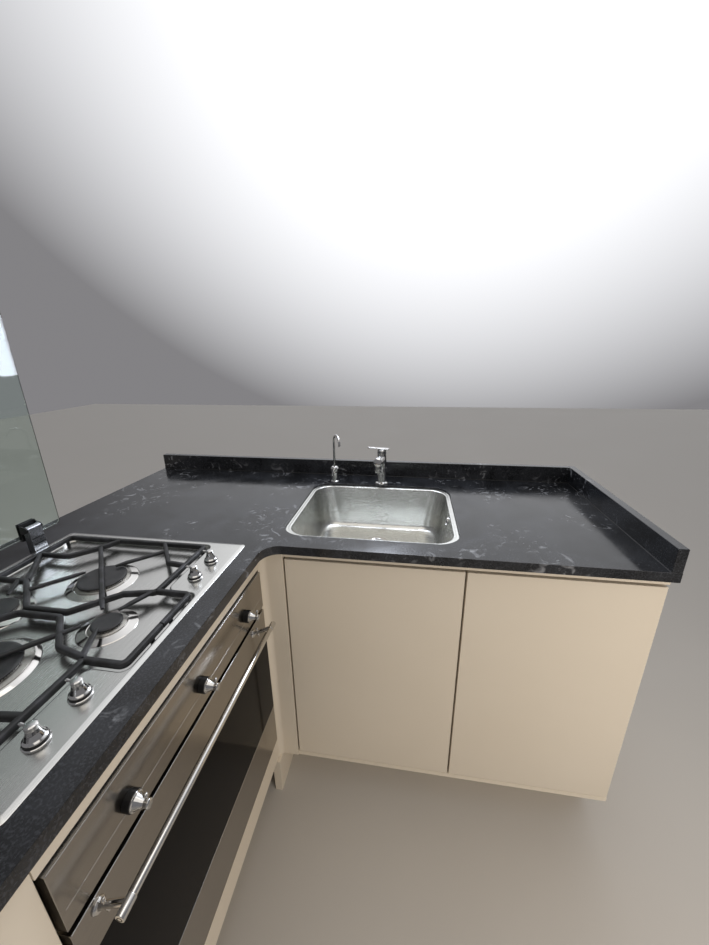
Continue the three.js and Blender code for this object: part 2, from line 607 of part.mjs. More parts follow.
// Oven
const OVEN_KNOBS = [
  { name: "oven_knob_1", y: -698 }, { name: "oven_knob_2", y: -891 }, { name: "oven_knob_3", y: -1083 },
];
const OVEN_KNOB = {
  z: 762, collar: 14.5, collarThick: 12, stem: 6.5, long: 34, leverX: 30, lever: 17, bulb: 3.6,
};
const HANDLE = {
  x: -914, z: 714, radius: 5.2, right: -658, left: -1174, brackets: [-673, -1158], seatZ: 688,
  hub: 7.5, hubWide: 14,
};
const RACK = { z: 470, wire: 3, bars: 9 };
const OVEN_DOOR_BACK_X = OVEN_FACE_X - OVEN_DOOR.thick;

function makeOven() {
  const bodyFront = CARCASS_FRONT_X;
  const sides = [HOUSING.left + BOARD + 2, HOUSING.right - BOARD - 2];
  const shell = block([OVEN.back, bodyFront], sides, [OVEN.bottom, OVEN.top - 8]);
  const sealY = [CAVITY.left - 14, CAVITY.right + 14];
  const sealZ = [CAVITY.bottom - 14, CAVITY.top + 14];
  const seal = block([bodyFront - 1, OVEN_DOOR_BACK_X - SEAT], sealY, sealZ);
  const mouth = block(
    [CAVITY.back, OVEN_FACE_X], [CAVITY.left, CAVITY.right], [CAVITY.bottom, CAVITY.top],
  );
  const runner = { back: CAVITY.back + 20, out: 9 };
  const runnerY = [
    [CAVITY.left - 1, CAVITY.left + runner.out], [CAVITY.right - runner.out, CAVITY.right + 1],
  ];
  const runners = runnerY.map((y) => block([runner.back, bodyFront - 20], y, [RACK.z - 6, RACK.z]));
  const body = solid(shell).add(solid(seal)).subtract(solid(mouth));
  add("oven_body", geometryOf(runners.reduce((all, next) => all.add(solid(next)), body)), darkEnamel);

  const rackX = [CAVITY.back + 25, bodyFront - 30];
  const rackY = [CAVITY.left + 1.5, CAVITY.right - 1.5];
  const wireZ = [RACK.z, RACK.z + 2 * RACK.wire];
  const wide = 2 * RACK.wire;
  const wires = [
    block(rackX, [rackY[0], rackY[0] + wide], wireZ), block(rackX, [rackY[1] - wide, rackY[1]], wireZ),
    block([rackX[0], rackX[0] + wide], rackY, wireZ), block([rackX[1] - wide, rackX[1]], rackY, wireZ),
  ];
  for (let i = 1; i < RACK.bars; i++) {
    const y = rackY[0] + ((rackY[1] - rackY[0]) * i) / RACK.bars;
    wires.push(block(rackX, [y - 2, y + 2], [RACK.z + 1, RACK.z + 5]));
  }
  add("oven_rack", joined(...wires), chrome);
  const panelX = [bodyFront, OVEN_FACE_X];
  board("oven_panel", panelX, [OVEN.left, OVEN.right], [OVEN.panelBottom, OVEN.top], steel);
}

function makeOvenDoor() {
  const { glassLow, glassHigh, windowLow, windowHigh, windowSide } = OVEN_DOOR;
  const inner = [OVEN_DOOR_BACK_X, OVEN_FACE_X - OVEN_DOOR.skin];
  const wide = [OVEN.left, OVEN.right];
  const leaf = block(inner, wide, [OVEN.bottom, OVEN.doorTop]);
  const band = block([inner[1] - 1, OVEN_FACE_X], wide, [glassHigh + SEAT, OVEN.doorTop]);
  const strip = block([inner[1] - 1, OVEN_FACE_X], wide, [OVEN.bottom, glassLow - SEAT]);
  const windowY = [CAVITY.left + windowSide, CAVITY.right - windowSide];
  const window = block([inner[0] - 1, inner[1] + 1], windowY, [windowLow, windowHigh]);
  add("oven_door", cut(joined(leaf, band, strip), window), steel);
  board("oven_door_glass", [inner[1], OVEN_FACE_X], wide, [glassLow, glassHigh], glassBlack);

  const grip = barAlongY(HANDLE.radius, HANDLE.left, HANDLE.right, [HANDLE.x, HANDLE.z]);
  const brackets = HANDLE.brackets.flatMap((y) => {
    const rosette = new THREE.CylinderGeometry(8.5, 10, 5, 20).rotateZ(-Math.PI / 2);
    rosette.translate(OVEN_FACE_X + 2.5, y, HANDLE.seatZ);
    const half = HANDLE.hubWide / 2;
    const hub = barAlongY(HANDLE.hub, y - half, y + half, [HANDLE.x, HANDLE.z]);
    const rise = HANDLE.z - HANDLE.seatZ;
    const out = HANDLE.x - OVEN_FACE_X;
    const reach = Math.hypot(rise, out);
    const arm = new THREE.CylinderGeometry(4.5, 5.5, reach, 16).translate(0, reach / 2, 0);
    arm.rotateX(Math.PI / 2);
    arm.rotateY(Math.atan2(out, rise)).translate(OVEN_FACE_X, y, HANDLE.seatZ);
    const behindFace = block(
      [OVEN_FACE_X - 20, OVEN_FACE_X], [y - 20, y + 20], [HANDLE.seatZ - 30, HANDLE.z],
    );
    return [rosette, hub, cut(arm, behindFace)];
  });
  add("oven_handle", joined(grip, ...brackets), chrome);
}

function makeOvenKnobs() {
  const { z, collar, collarThick, stem, long, leverX, lever, bulb } = OVEN_KNOB;
  const profile = [
    [0, 0], [collar, 0], [collar, collarThick], [12, collarThick + 0.5], [9, 19], [stem, 26], [stem, long],
    [0, long],
  ];
  const points = profile.map(([r, h]) => new THREE.Vector2(r, h));
  for (const { name, y } of OVEN_KNOBS) {
    const body = new THREE.LatheGeometry(points, 16).rotateZ(-Math.PI / 2).translate(OVEN_FACE_X, y, z);
    const arm = rod(2.2, z, z + lever, [OVEN_FACE_X + leverX, y], 10);
    const tip = new THREE.SphereGeometry(bulb, 12, 8).translate(OVEN_FACE_X + leverX, y, z + lever);
    add(name, joined(body, arm, tip), plasticBlack);
  }
}

// The hob's glass lid, which stands open on two hinges behind the hob. Each hinge is a post on the worktop
// and a clip that holds the glass by its lower edge and turns on a pin through the post.
const LID_HINGE = {
  inset: 84, x: -1506, z: 957, round: 8, width: 34, footFront: -1496, pin: 3, play: 0.5, ear: 2.5,
  plate: 3.2, clipLow: 928, clipHigh: 972,
};

function lidPost(y) {
  const { x, z, round, width, footFront, pin, play } = LID_HINGE;
  const side = new THREE.Shape();
  side.moveTo(x - round, WORKTOP.top);
  side.lineTo(footFront, WORKTOP.top);
  side.lineTo(x + round, z);
  side.absarc(x, z, round, 0, Math.PI);
  side.closePath();
  const bore = barAlongY(pin + play, y - width, y + width, [x, z]);
  return cut(acrossY(side, y - width / 2, y + width / 2), bore);
}

function lidClip(y) {
  const { x, z, round, width, pin, play, ear, plate, clipLow, clipHigh } = LID_HINGE;
  const glass = [LID.x - LID.thick / 2 - SEAT, LID.x + LID.thick / 2 + SEAT];
  const between = width / 2 + play;
  const wide = [y - between - ear, y + between + ear];
  const tall = [clipLow, clipHigh];
  const behind = block([glass[0] - plate, glass[0]], wide, tall);
  const before = block([glass[1], glass[1] + plate], wide, tall);
  const hook = block([glass[0] - 1, glass[1] + 1], wide, [clipLow, LID.bottom - SEAT]);
  const cheek = new THREE.Shape();
  cheek.moveTo(glass[1] + 1, z - round - 4);
  cheek.lineTo(x, z - round);
  cheek.absarc(x, z, round, -Math.PI / 2, Math.PI / 2);
  cheek.lineTo(glass[1] + 1, z + round + 4);
  cheek.closePath();
  const ears = [wide[0], wide[1] - ear].map((low) => acrossY(cheek, low, low + ear));
  return joined(behind, before, hook, ...ears, barAlongY(pin, wide[0] + 1, wide[1] - 1, [x, z]));
}

function makeLid() {
  const { x, thick, right, left, bottom, top, corner } = LID;
  const pane = roundedRect(left, right, bottom, top, corner);
  add("glass_lid", acrossX(pane, x - thick / 2, x + thick / 2), glassClear);
  const hinges = { right: right - LID_HINGE.inset, left: left + LID_HINGE.inset };
  for (const [side, y] of Object.entries(hinges)) {
    add("lid_hinge_post_" + side, lidPost(y), chrome);
    add("lid_clip_" + side, lidClip(y), plasticBlack);
  }
}

makeWorktop();
makeUpstands();
makeWallCupboards();
makeCorner();
makeLeg();
makeDoors();
makeSink();
makeMixer();
makeFilterTap();
makeHob();
makePanSupports();
makeHobKnobs();
makeOven();
makeOvenDoor();
makeOvenKnobs();
makeLid();

export default unit;
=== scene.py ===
# The looks of a fitted barge galley unit: polished stone, painted boards, steel, chrome, cast iron and glass.
# Blender's metres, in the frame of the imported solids. Sizes in the tables below are millimetres, and MM turns
# them into metres. Places (x, y, z) in millimetres count from the right-hand end, the wall and the floor.
import json
import math

import bmesh
import bpy
from mathutils import Matrix, Vector


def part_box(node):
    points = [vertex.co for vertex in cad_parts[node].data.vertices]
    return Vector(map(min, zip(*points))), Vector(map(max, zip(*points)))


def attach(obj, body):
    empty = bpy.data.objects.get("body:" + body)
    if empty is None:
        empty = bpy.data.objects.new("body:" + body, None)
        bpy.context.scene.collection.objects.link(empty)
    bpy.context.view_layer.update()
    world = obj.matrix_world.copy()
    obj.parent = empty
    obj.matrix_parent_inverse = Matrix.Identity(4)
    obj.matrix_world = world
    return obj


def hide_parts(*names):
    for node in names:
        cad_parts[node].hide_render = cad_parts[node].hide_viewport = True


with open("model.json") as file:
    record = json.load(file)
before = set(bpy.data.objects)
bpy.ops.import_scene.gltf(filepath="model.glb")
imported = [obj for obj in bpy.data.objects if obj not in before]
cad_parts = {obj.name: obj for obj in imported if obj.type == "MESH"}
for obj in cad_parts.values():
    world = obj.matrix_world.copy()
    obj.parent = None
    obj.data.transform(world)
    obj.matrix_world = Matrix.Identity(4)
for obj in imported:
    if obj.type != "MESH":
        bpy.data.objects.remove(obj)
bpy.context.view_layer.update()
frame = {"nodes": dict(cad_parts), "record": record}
nodes = frame["nodes"]

MM = 0.001
RIGHT_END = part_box("worktop")[1].x
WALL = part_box("back_panel")[1].y
STONE_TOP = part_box("worktop")[1].z
ORIGIN = Vector((0, 0, 0))
# A point farther than this from a flat face isn't on it
HAIR = 0.1 * MM


def spot(x, y, z):
    """A place in millimetres from the right-hand end, the wall and the floor, in the frame's metres."""
    return Vector((RIGHT_END + x * MM, WALL + y * MM, z * MM))


def middle(node):
    low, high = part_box(node)
    return (low + high) / 2


# Camera, at the viewpoint of the photograph
CAMERA = {
    "place": (-587, -1380, 1361), "yaw": -9.03, "pitch": -18.15, "roll": -0.74, "lens": 14.03, "sensor": 36,
}


def make_camera():
    data = bpy.data.cameras.new("camera")
    data.sensor_width = CAMERA["sensor"]
    data.lens = CAMERA["lens"]
    data.clip_start = 0.02
    camera = bpy.data.objects.new("camera", data)
    bpy.context.scene.collection.objects.link(camera)
    yaw, pitch, roll = (math.radians(CAMERA[k]) for k in ("yaw", "pitch", "roll"))
    turn = (
        Matrix.Rotation(-yaw, 4, "Z")
        @ Matrix.Rotation(math.pi / 2 + pitch, 4, "X")
        @ Matrix.Rotation(roll, 4, "Z")
    )
    camera.matrix_world = Matrix.Translation(spot(*CAMERA["place"])) @ turn
    bpy.context.scene.camera = camera


# Materials. Sockets by number: on Map Range 1 to 4 are from low, from high, to low and to high, and on Mix
# 0 is the share, 2 and 3 are two numbers and 6 and 7 are two colours.
ALONG_X, ALONG_Y, ALONG_Z = 0, 1, 2


def srgb(code):
    """An sRGB hex colour as linear red, green, blue and full opacity."""
    parts = [int(code[i:i + 2], 16) / 255 for i in (1, 3, 5)]
    return [c / 12.92 if c <= 0.04045 else ((c + 0.055) / 1.055) ** 2.4 for c in parts] + [1.0]


def add(tree, kind, links=None, **settings):
    """Adds a node with its settings and its inputs, each a value or another node's output."""
    made = tree.nodes.new(kind)
    for name, value in settings.items():
        setattr(made, name, value)
    for name, value in (links or {}).items():
        if isinstance(value, bpy.types.NodeSocket):
            tree.links.new(value, made.inputs[name])
        else:
            made.inputs[name].default_value = value
    return made


def new_finish(name):
    """A new material with an empty tree; returns both and the place on the object."""
    material = bpy.data.materials.new(name)
    material.use_nodes = True
    tree = material.node_tree
    tree.nodes.clear()
    return material, tree, add(tree, "ShaderNodeTexCoord").outputs["Object"]


def shaded(material, **sockets):
    """Ends a material in its shader, each of whose sockets takes a value or a pattern."""
    tree = material.node_tree
    links = {key.replace("_", " "): value for key, value in sockets.items()}
    shader = add(tree, "ShaderNodeBsdfPrincipled", links)
    add(tree, "ShaderNodeOutputMaterial", {"Surface": shader.outputs[0]})
    return material


def patches(tree, point, size, detail, ends=(0, 1), drawn=(0, 1), distortion=0.0, streak=None):
    """
    Soft random patches about size millimetres across, or streaks of that width where streak gives their axis
    and length. The drawn part of their range, from 0 to 1, goes from the first end to the second.
    """
    scale = [1 / (size * MM)] * 3
    if streak:
        axis, length = streak
        scale[axis] = 1 / (length * MM)
    place = add(tree, "ShaderNodeMapping", {"Vector": point, "Scale": scale})
    links = {"Vector": place.outputs[0], "Scale": 1.0, "Detail": detail, "Distortion": distortion}
    noise = add(tree, "ShaderNodeTexNoise", links)
    links = {"Value": noise.outputs["Fac"], 1: drawn[0], 2: drawn[1], 3: ends[0], 4: ends[1]}
    return add(tree, "ShaderNodeMapRange", links).outputs[0]


def finish(
    name, tone, rough, relief=None, tone_drawn=(0, 1), rough_drawn=(0.3, 0.7), distortion=0.0, **sockets,
):
    """
    A material of one substance, whose colour, roughness and relief follow soft random patches. Each is given
    by the patches' size and detail and then, for tone, its two colours, for rough, its two ends, and for
    relief, the bump's strength and its depth in millimetres.
    """
    material, tree, point = new_finish(name)
    size, detail, first, second = tone
    share = patches(tree, point, size, detail, (0, 1), tone_drawn, distortion)
    blend = add(tree, "ShaderNodeMix", {0: share, 6: srgb(first), 7: srgb(second)}, data_type="RGBA")
    size, detail, low, high = rough
    blur = patches(tree, point, size, detail, (low, high), rough_drawn, distortion)
    if relief:
        size, detail, strength, depth = relief
        links = {"Height": patches(tree, point, size, detail), "Strength": strength, "Distance": depth * MM}
        sockets["Normal"] = add(tree, "ShaderNodeBump", links).outputs[0]
    return shaded(material, Base_Color=blend.outputs[2], Roughness=blur, **sockets)


# Patterns of the granite: patch size in millimetres, detail, two ends, drawn part of the range, distortion
GRANITE = {
    "clouds": (90, 6, (0, 1), (0.36, 0.7), 0.8),
    "grain": (3.6, 3, (0, 1), (0.48, 0.74), 0.0),
    # The fan cover's vents: radius of their circle, their number and their length; and their width and
    # thickness. Each vent is a dark block that paints the shade in its opening
    "rubs": (46, 5, (0, 0.72), (0.56, 0.72), 2.2),
    "used_parts": (170, 2, (0, 1), (0.5, 0.62), 0.0),
    "blur": (150, 4, (0.1, 0.24), (0.3, 0.7), 1.2),
}


def polished_granite(name, pale=0.0):
    # Sawn, polished stone: near-black with soft grey clouds, pale scuffs and a reflection that blurs a little;
    # its scuffs are nowhere fainter than pale, so a pale above nought lays the scuff colour all over as a
    # painted highlight
    material, tree, point = new_finish(name)
    found = {part: patches(tree, point, *row) for part, row in GRANITE.items()}
    colours = [(found["clouds"], "#111214", "#2b2d31"), (found["grain"], "#000000", "#45474c")]
    body, grain = (
        add(tree, "ShaderNodeMix", {0: share, 6: srgb(low), 7: srgb(high)}, data_type="RGBA").outputs[2]
        for share, low, high in colours
    )
    ground = add(tree, "ShaderNodeMix", {0: 0.5, 6: body, 7: grain}, data_type="RGBA", blend_type="ADD")
    scuffs = add(tree, "ShaderNodeMath", {0: found["rubs"], 1: found["used_parts"]}, operation="MULTIPLY")
    scuffs_and_highlight = add(tree, "ShaderNodeMath", {0: scuffs.outputs[0], 1: pale}, operation="MAXIMUM")
    links = {0: scuffs_and_highlight.outputs[0], 6: ground.outputs[2], 7: srgb("#a2a5aa")}
    tone = add(tree, "ShaderNodeMix", links, data_type="RGBA").outputs[2]
    return shaded(material, Base_Color=tone, Roughness=found["blur"], IOR=1.48)


def marine_plywood():
    # Rotary-cut face veneer of marine ply, clear sealed: long open grain, darker growth bands and small pores
    material, tree, point = new_finish("sealed_marine_plywood")
    growth = {"size": 28, "detail": 5, "distortion": 0.8, "streak": (ALONG_Z, 900)}
    pore = {"size": 1.1, "detail": 2, "streak": (ALONG_Z, 18)}
    share = patches(tree, point, ends=(0, 1), drawn=(0.35, 0.65), **growth)
    veneer = add(tree, "ShaderNodeMix", {0: share, 6: srgb("#b98f60"), 7: srgb("#d2ae80")}, data_type="RGBA")
    depth = patches(tree, point, ends=(0, 0.5), drawn=(0.62, 0.7), **pore)
    links = {0: depth, 6: veneer.outputs[2], 7: srgb("#7d5a37")}
    tone = add(tree, "ShaderNodeMix", links, data_type="RGBA").outputs[2]
    blur = patches(tree, point, ends=(0.42, 0.56), drawn=(0.3, 0.7), **growth)
    links = {"Height": patches(tree, point, **pore), "Strength": 0.25, "Distance": 0.1 * MM}
    relief = add(tree, "ShaderNodeBump", links).outputs[0]
    return shaded(material, Base_Color=tone, Roughness=blur, Normal=relief, IOR=1.5)


def brushed_steel(name, along, first="#cacac7", second="#d6d6d3", rough=(0.2, 0.3)):
    # Stainless sheet brushed along one way: a soft, drawn-out reflection with very fine lines in it
    material, tree, point = new_finish(name)
    brush = {"size": 0.5, "detail": 3, "streak": (along, 120)}
    lines = patches(tree, point, **brush)
    share = patches(tree, point, drawn=(0.3, 0.7), **brush)
    links = {0: share, 6: srgb(first), 7: srgb(second)}
    tone = add(tree, "ShaderNodeMix", links, data_type="RGBA").outputs[2]
    both = add(tree, "ShaderNodeMix", {0: 0.6, 2: lines, 3: patches(tree, point, 120, 4)}, data_type="FLOAT")
    links = {"Value": both.outputs[0], 1: 0.3, 2: 0.7, 3: rough[0], 4: rough[1]}
    blur = add(tree, "ShaderNodeMapRange", links).outputs[0]
    links = {"Height": lines, "Strength": 0.05, "Distance": 0.04 * MM}
    relief = add(tree, "ShaderNodeBump", links).outputs[0]
    return shaded(material, Base_Color=tone, Roughness=blur, Normal=relief, Metallic=1.0)


def oven_enamel():
    # Vitreous enamel fused to sheet steel: blue-black and glossy with fine pale flecks
    material, tree, point = new_finish("speckled_oven_enamel")
    grains = add(tree, "ShaderNodeTexVoronoi", {"Vector": point, "Scale": 1 / (4 * MM)}).outputs["Distance"]
    fleck = add(tree, "ShaderNodeMapRange", {"Value": grains, 1: 0.1, 2: 0.16, 3: 1, 4: 0}).outputs[0]
    links = {0: fleck, 6: srgb("#17181c"), 7: srgb("#7f8288")}
    tone = add(tree, "ShaderNodeMix", links, data_type="RGBA").outputs[2]
    blur = patches(tree, point, 40, 3, (0.16, 0.3), (0.3, 0.7))
    return shaded(material, Base_Color=tone, Roughness=blur, IOR=1.53)


granite = polished_granite("polished_black_granite")
# The worktop's eased edge: the stone with its pale scuff colour laid all over, a painted highlight along the
# arris
granite_arris_highlight = polished_granite("granite_arris_painted_highlight", 0.24)
plywood = marine_plywood()
steel_hob = brushed_steel("brushed_hob_steel", ALONG_Y)
# The oven's steel is darker and warmer than the other steels: its tone is a painted reflection of a wooden
# floor
steel_oven_painted_reflection = brushed_steel("brushed_oven_steel_painted_reflection", ALONG_Y, "#a39e97", "#afaaa3", (0.14, 0.24))
steel_sink = brushed_steel("satin_sink_steel", ALONG_X, "#cbccc8", "#d8d9d6", (0.2, 0.32))
cavity_enamel = oven_enamel()

# Sprayed satin lacquer on board: soft cream with a faint orange peel and hand marks that dull it in patches
lacquer = finish(
    "satin_cream_lacquer", (400, 3, "#d9cfbd", "#e0d7c7"), (60, 4, 0.36, 0.47), (2.2, 1, 0.12, 0.12), IOR=1.5,
)
# Melamine-faced board inside the cupboards: paler, with the fine pearl grain of its paper
lining = finish(
    "melamine_lining", (1.6, 2, "#ddd3c0", "#e8dfce"), (90, 3, 0.42, 0.55), (1.6, 2, 0.15, 0.06), IOR=1.5,
)
# Bright nickel-chrome plate: mirror sharp but for faint dried water spots
chrome = finish(
    "polished_chrome_plate", (7, 3, "#c6c6c5", "#d6d6d5"), (7, 3, 0.06, 0.17), rough_drawn=(0.45, 0.75),
    Metallic=1.0,
)
# Satin-plated zinc casting: the same metal with a blurred, even sheen
satin = finish("satin_chrome_plate", (2, 2, "#8f9194", "#a0a2a5"), (2, 2, 0.24, 0.34), Metallic=1.0)
# Chrome that hands have dulled: bright, with a reflection that blurs in patches
handle_chrome = finish("hand_worn_chrome", (35, 4, "#d3d1cd", "#dfddda"), (35, 4, 0.08, 0.18), Metallic=1.0)
# Cast iron under matt black enamel: pebbly from the sand mould, greyer where pans have rubbed it
iron = finish(
    "matt_enamelled_cast_iron", (22, 4, "#1d1e1f", "#34353a"), (22, 4, 0.55, 0.42), (1.1, 3, 0.35, 0.18),
    tone_drawn=(0.45, 0.7), rough_drawn=(0.45, 0.7), IOR=1.5,
)
# Thin matt enamel on the pressed burner lids: smooth, near black, a little burnt to grey
lid_enamel = finish(
    "matt_lid_enamel", (16, 3, "#202123", "#3c3c3d"), (16, 3, 0.38, 0.55), tone_drawn=(0.4, 0.75),
    rough_drawn=(0.4, 0.75), IOR=1.5,
)
# Die-cast burner ring: dull grey metal with a fine skin, slightly tarnished by heat
aluminium = finish(
    "die_cast_aluminium", (14, 3, "#96938d", "#bab8b3"), (14, 3, 0.26, 0.4), (0.8, 2, 0.2, 0.05),
    Metallic=1.0,
)
# Back-enamelled toughened glass: jet black with a mirror-like skin and a trace of wiping
oven_glass = finish(
    "black_toughened_glass", (130, 3, "#040405", "#08080a"), (130, 3, 0.05, 0.12), distortion=1.0, IOR=1.3,
    Specular_IOR_Level=0.18,
)
# Toughened float glass: clear, with the green cast of its iron, strongest at the polished edges
lid_glass = finish(
    "clear_float_glass", (200, 3, "#dfeee8", "#e8f4ef"), (200, 3, 0.0, 0.04), IOR=1.52,
    Transmission_Weight=1.0,
)
# Moulded heat-proof plastic: black with the fine even texture of its mould; in the hob knobs it also fills a
# groove as painted shade
black_plastic_and_groove_shade = finish(
    "moulded_black_plastic_and_groove_shade", (0.7, 2, "#0f0f10", "#19191a"), (0.7, 2, 0.34, 0.46), (0.7, 2, 0.2, 0.05),
    IOR=1.46,
)
# Injection-moulded waste fitting: white and slightly waxy
waste_plastic = finish(
    "white_pipe_plastic", (30, 3, "#dedcd4", "#e8e6df"), (8, 2, 0.3, 0.42), IOR=1.49, Subsurface_Weight=0.1,
)
# Silicone and fibre seals: dark, dull and slightly uneven; the same dark material is laid in holes, slots,
# vents and grooves as painted shade
seal_and_painted_shade = finish("dark_seal_and_painted_shade", (3, 2, "#0e0e0e", "#181817"), (3, 2, 0.5, 0.65), IOR=1.41)
# Nickel-plated pressings of the hinges: warm grey metal, satin
nickel = finish("satin_nickel_plate", (6, 3, "#a8a397", "#bcb7ab"), (6, 3, 0.22, 0.34), Metallic=1.0)
# Levelled studio floor: pale, matt, with a very faint trowelled cloudiness
floor_screed = finish("pale_levelled_floor", (700, 4, "#b6b2ab", "#bfbbb5"), (700, 4, 0.62, 0.74), IOR=1.45)


# Pieces
def piece(name, mesh, body, material=None, replaced=()):
    """Puts a finished mesh in the scene, on its body, in place of the solids that it stands for."""
    if material:
        mesh.materials.clear()
        mesh.materials.append(material)
    mesh.name = name
    made = bpy.data.objects.new(name, mesh)
    bpy.context.scene.collection.objects.link(made)
    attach(made, body)
    if replaced:
        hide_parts(*replaced)
    return made


def fixed(name, meshes, replaced=()):
    """A piece on the unit made of several meshes, each keeping its material."""
    return piece(name, merged(meshes), "unit", None, replaced)


def evaluated(source):
    """The mesh that an object's modifiers give. The object itself is removed."""
    bpy.context.view_layer.update()
    mesh = bpy.data.meshes.new_from_object(source.evaluated_get(bpy.context.evaluated_depsgraph_get()))
    bpy.data.objects.remove(source)
    return mesh


def scratch(data):
    """A passing object that carries a mesh or a curve while modifiers work on it."""
    made = bpy.data.objects.new("scratch", data)
    bpy.context.scene.collection.objects.link(made)
    return made


def smooth(mesh, angle=35):
    mesh.shade_smooth()
    mesh.set_sharp_from_angle(angle=math.radians(angle))
    return mesh


def to_mesh(work, angle=35):
    """Turns an edit mesh into a mesh whose faces point outwards."""
    bmesh.ops.recalc_face_normals(work, faces=work.faces)
    mesh = bpy.data.meshes.new("made")
    work.to_mesh(mesh)
    work.free()
    return smooth(mesh, angle)


def settled(mesh):
    """A mesh whose shading follows its large flat faces, so that eased edges don't bend them."""
    shape = scratch(mesh)
    weigh = shape.modifiers.new("weigh", "WEIGHTED_NORMAL")
    weigh.weight = 90
    weigh.keep_sharp = True
    return evaluated(shape)


# Corners closer than this are one corner
WELD = 0.01 * MM


def clean_copy(node):
    """A solid's surface with its triangles merged back into flat faces."""
    work = bmesh.new()
    work.from_mesh(nodes[node].data)
    bmesh.ops.remove_doubles(work, verts=work.verts, dist=WELD)
    bmesh.ops.dissolve_limit(work, angle_limit=math.radians(0.5), verts=work.verts, edges=work.edges)
    return work


def body_of(node):
    return next(b for b, members in frame["record"]["behaviour"]["bodies"].items() if node in members)


def eased_mesh(node, width, segments=2):
    """A solid's surface with its edges eased to a radius."""
    work = clean_copy(node)
    mesh = bpy.data.meshes.new("eased")
    work.to_mesh(mesh)
    work.free()
    mesh.shade_smooth()
    shape = scratch(mesh)
    ease = shape.modifiers.new("ease", "BEVEL")
    ease.width = width * MM
    ease.segments = segments
    ease.limit_method = "ANGLE"
    ease.angle_limit = math.radians(30)
    return settled(evaluated(shape))


def eased(node, material, width, other=None, odd=None, segments=2):
    """A board with its edges eased by millimetres; the faces that odd() picks take the other material."""
    done = eased_mesh(node, width, segments)
    done.materials.clear()
    done.materials.append(material)
    if other:
        done.materials.append(other)
    for face in done.polygons:
        face.material_index = 1 if odd and odd(face.center) else 0
    return piece(node + "_eased", done, body_of(node), None, [node])


def rounded(points, steps=5, closed=False):
    """Points of an outline given as (x, y, radius), with each corner turned into an arc of its radius."""
    done = []
    for i, (x, y, radius) in enumerate(points):
        if not radius or (not closed and i in (0, len(points) - 1)):
            done.append((x, y))
            continue
        here = Vector((x, y))
        before = (Vector(points[i - 1][:2]) - here).normalized()
        after = (Vector(points[(i + 1) % len(points)][:2]) - here).normalized()
        angle = before.angle(after)
        back = radius / math.tan(angle / 2)
        centre = here + (before + after).normalized() * (radius / math.sin(angle / 2))
        start = here + before * back - centre
        end = here + after * back - centre
        turn = start.angle_signed(end)
        for k in range(steps + 1):
            arm = start.copy()
            arm.rotate(Matrix.Rotation(-turn * k / steps, 2))
            done.append(tuple(centre + arm))
    return done


def towards(axis):
    """The turn that brings the vertical to an axis."""
    return Vector(axis).to_track_quat("Z", "Y")


def turned(profile, at, axis=(0, 0, 1), segments=48, turn=None):
    """An edit mesh turned about an axis through at, from (radius, height) in millimetres."""
    work = bmesh.new()
    lift = towards(axis).to_matrix().to_4x4()
    rings = []
    for radius, height in profile:
        if not radius:
            rings.append([work.verts.new((0, 0, height * MM))])
            continue
        angles = [2 * math.pi * k / segments for k in range(segments)]
        around = [(radius * math.cos(a), radius * math.sin(a), height) for a in angles]
        rings.append([work.verts.new([c * MM for c in place]) for place in around])
    for low, high in zip(rings, rings[1:]):
        for k in range(segments):
            n = k + 1
            loop = [low[k % len(low)], low[n % len(low)], high[n % len(high)], high[k % len(high)]]
            corners = [v for i, v in enumerate(loop) if v not in loop[:i]]
            if len(corners) > 2:
                work.faces.new(corners)
    pose = Matrix.Translation(at) @ (turn or Matrix.Identity(4)) @ lift
    bmesh.ops.transform(work, matrix=pose, verts=work.verts)
    return work


def turned_mesh(profile, at, material, axis=(0, 0, 1), segments=48, angle=35):
    """A turned shape as a finished mesh in one material."""
    return with_material(to_mesh(turned(profile, at, axis, segments), angle), material)


def joined(works):
    """One edit mesh from several."""
    whole = works[0]
    for other in works[1:]:
        spare = bpy.data.meshes.new("spare")
        other.to_mesh(spare)
        other.free()
        whole.from_mesh(spare)
        bpy.data.meshes.remove(spare)
    return whole


CORNER_STEPS = 10


def rounded_rect(cx, cy, width, depth, radius, z):
    """The points of a rounded rectangle in millimetres, from the right-hand corner round."""
    points = []
    for k, (sx, sy) in enumerate([(1, -1), (1, 1), (-1, 1), (-1, -1)]):
        mid = (cx + sx * (width / 2 - radius), cy + sy * (depth / 2 - radius))
        for i in range(CORNER_STEPS + 1):
            a = -math.pi / 2 + math.pi / 2 * (k + i / CORNER_STEPS)
            points.append((mid[0] + radius * math.cos(a), mid[1] + radius * math.sin(a), z))
    return points


def loops_between(work, rings):
    """Adds rings of points to an edit mesh with faces between each two, and returns their corners."""
    made = [[work.verts.new(spot(*p)) for p in ring] for ring in rings]
    for one, two in zip(made, made[1:]):
        for k in range(len(one)):
            n = (k + 1) % len(one)
            work.faces.new([one[k], one[n], two[n], two[k]])
    return made


# Geometry Nodes: what repeats or follows a path
def geometry_tree(name, inputs):
    """A new tree with a geometry in and out and the named inputs; returns it with its incoming sockets."""
    tree = bpy.data.node_groups.new(name, "GeometryNodeTree")
    tree.interface.new_socket("Geometry", in_out="OUTPUT", socket_type="NodeSocketGeometry")
    tree.interface.new_socket("Geometry", in_out="INPUT", socket_type="NodeSocketGeometry")
    for label, kind in inputs.items():
        tree.interface.new_socket(label, in_out="INPUT", socket_type=kind)
    return tree, add(tree, "NodeGroupInput").outputs


def finish_tree(tree, shape, given):
    """Ends a tree in Realize Instances and Set Material."""
    real = add(tree, "GeometryNodeRealizeInstances", {0: shape}).outputs[0]
    painted = add(tree, "GeometryNodeSetMaterial", {"Geometry": real, "Material": given["Material"]})
    add(tree, "NodeGroupOutput", {"Geometry": painted.outputs[0]})
    return tree


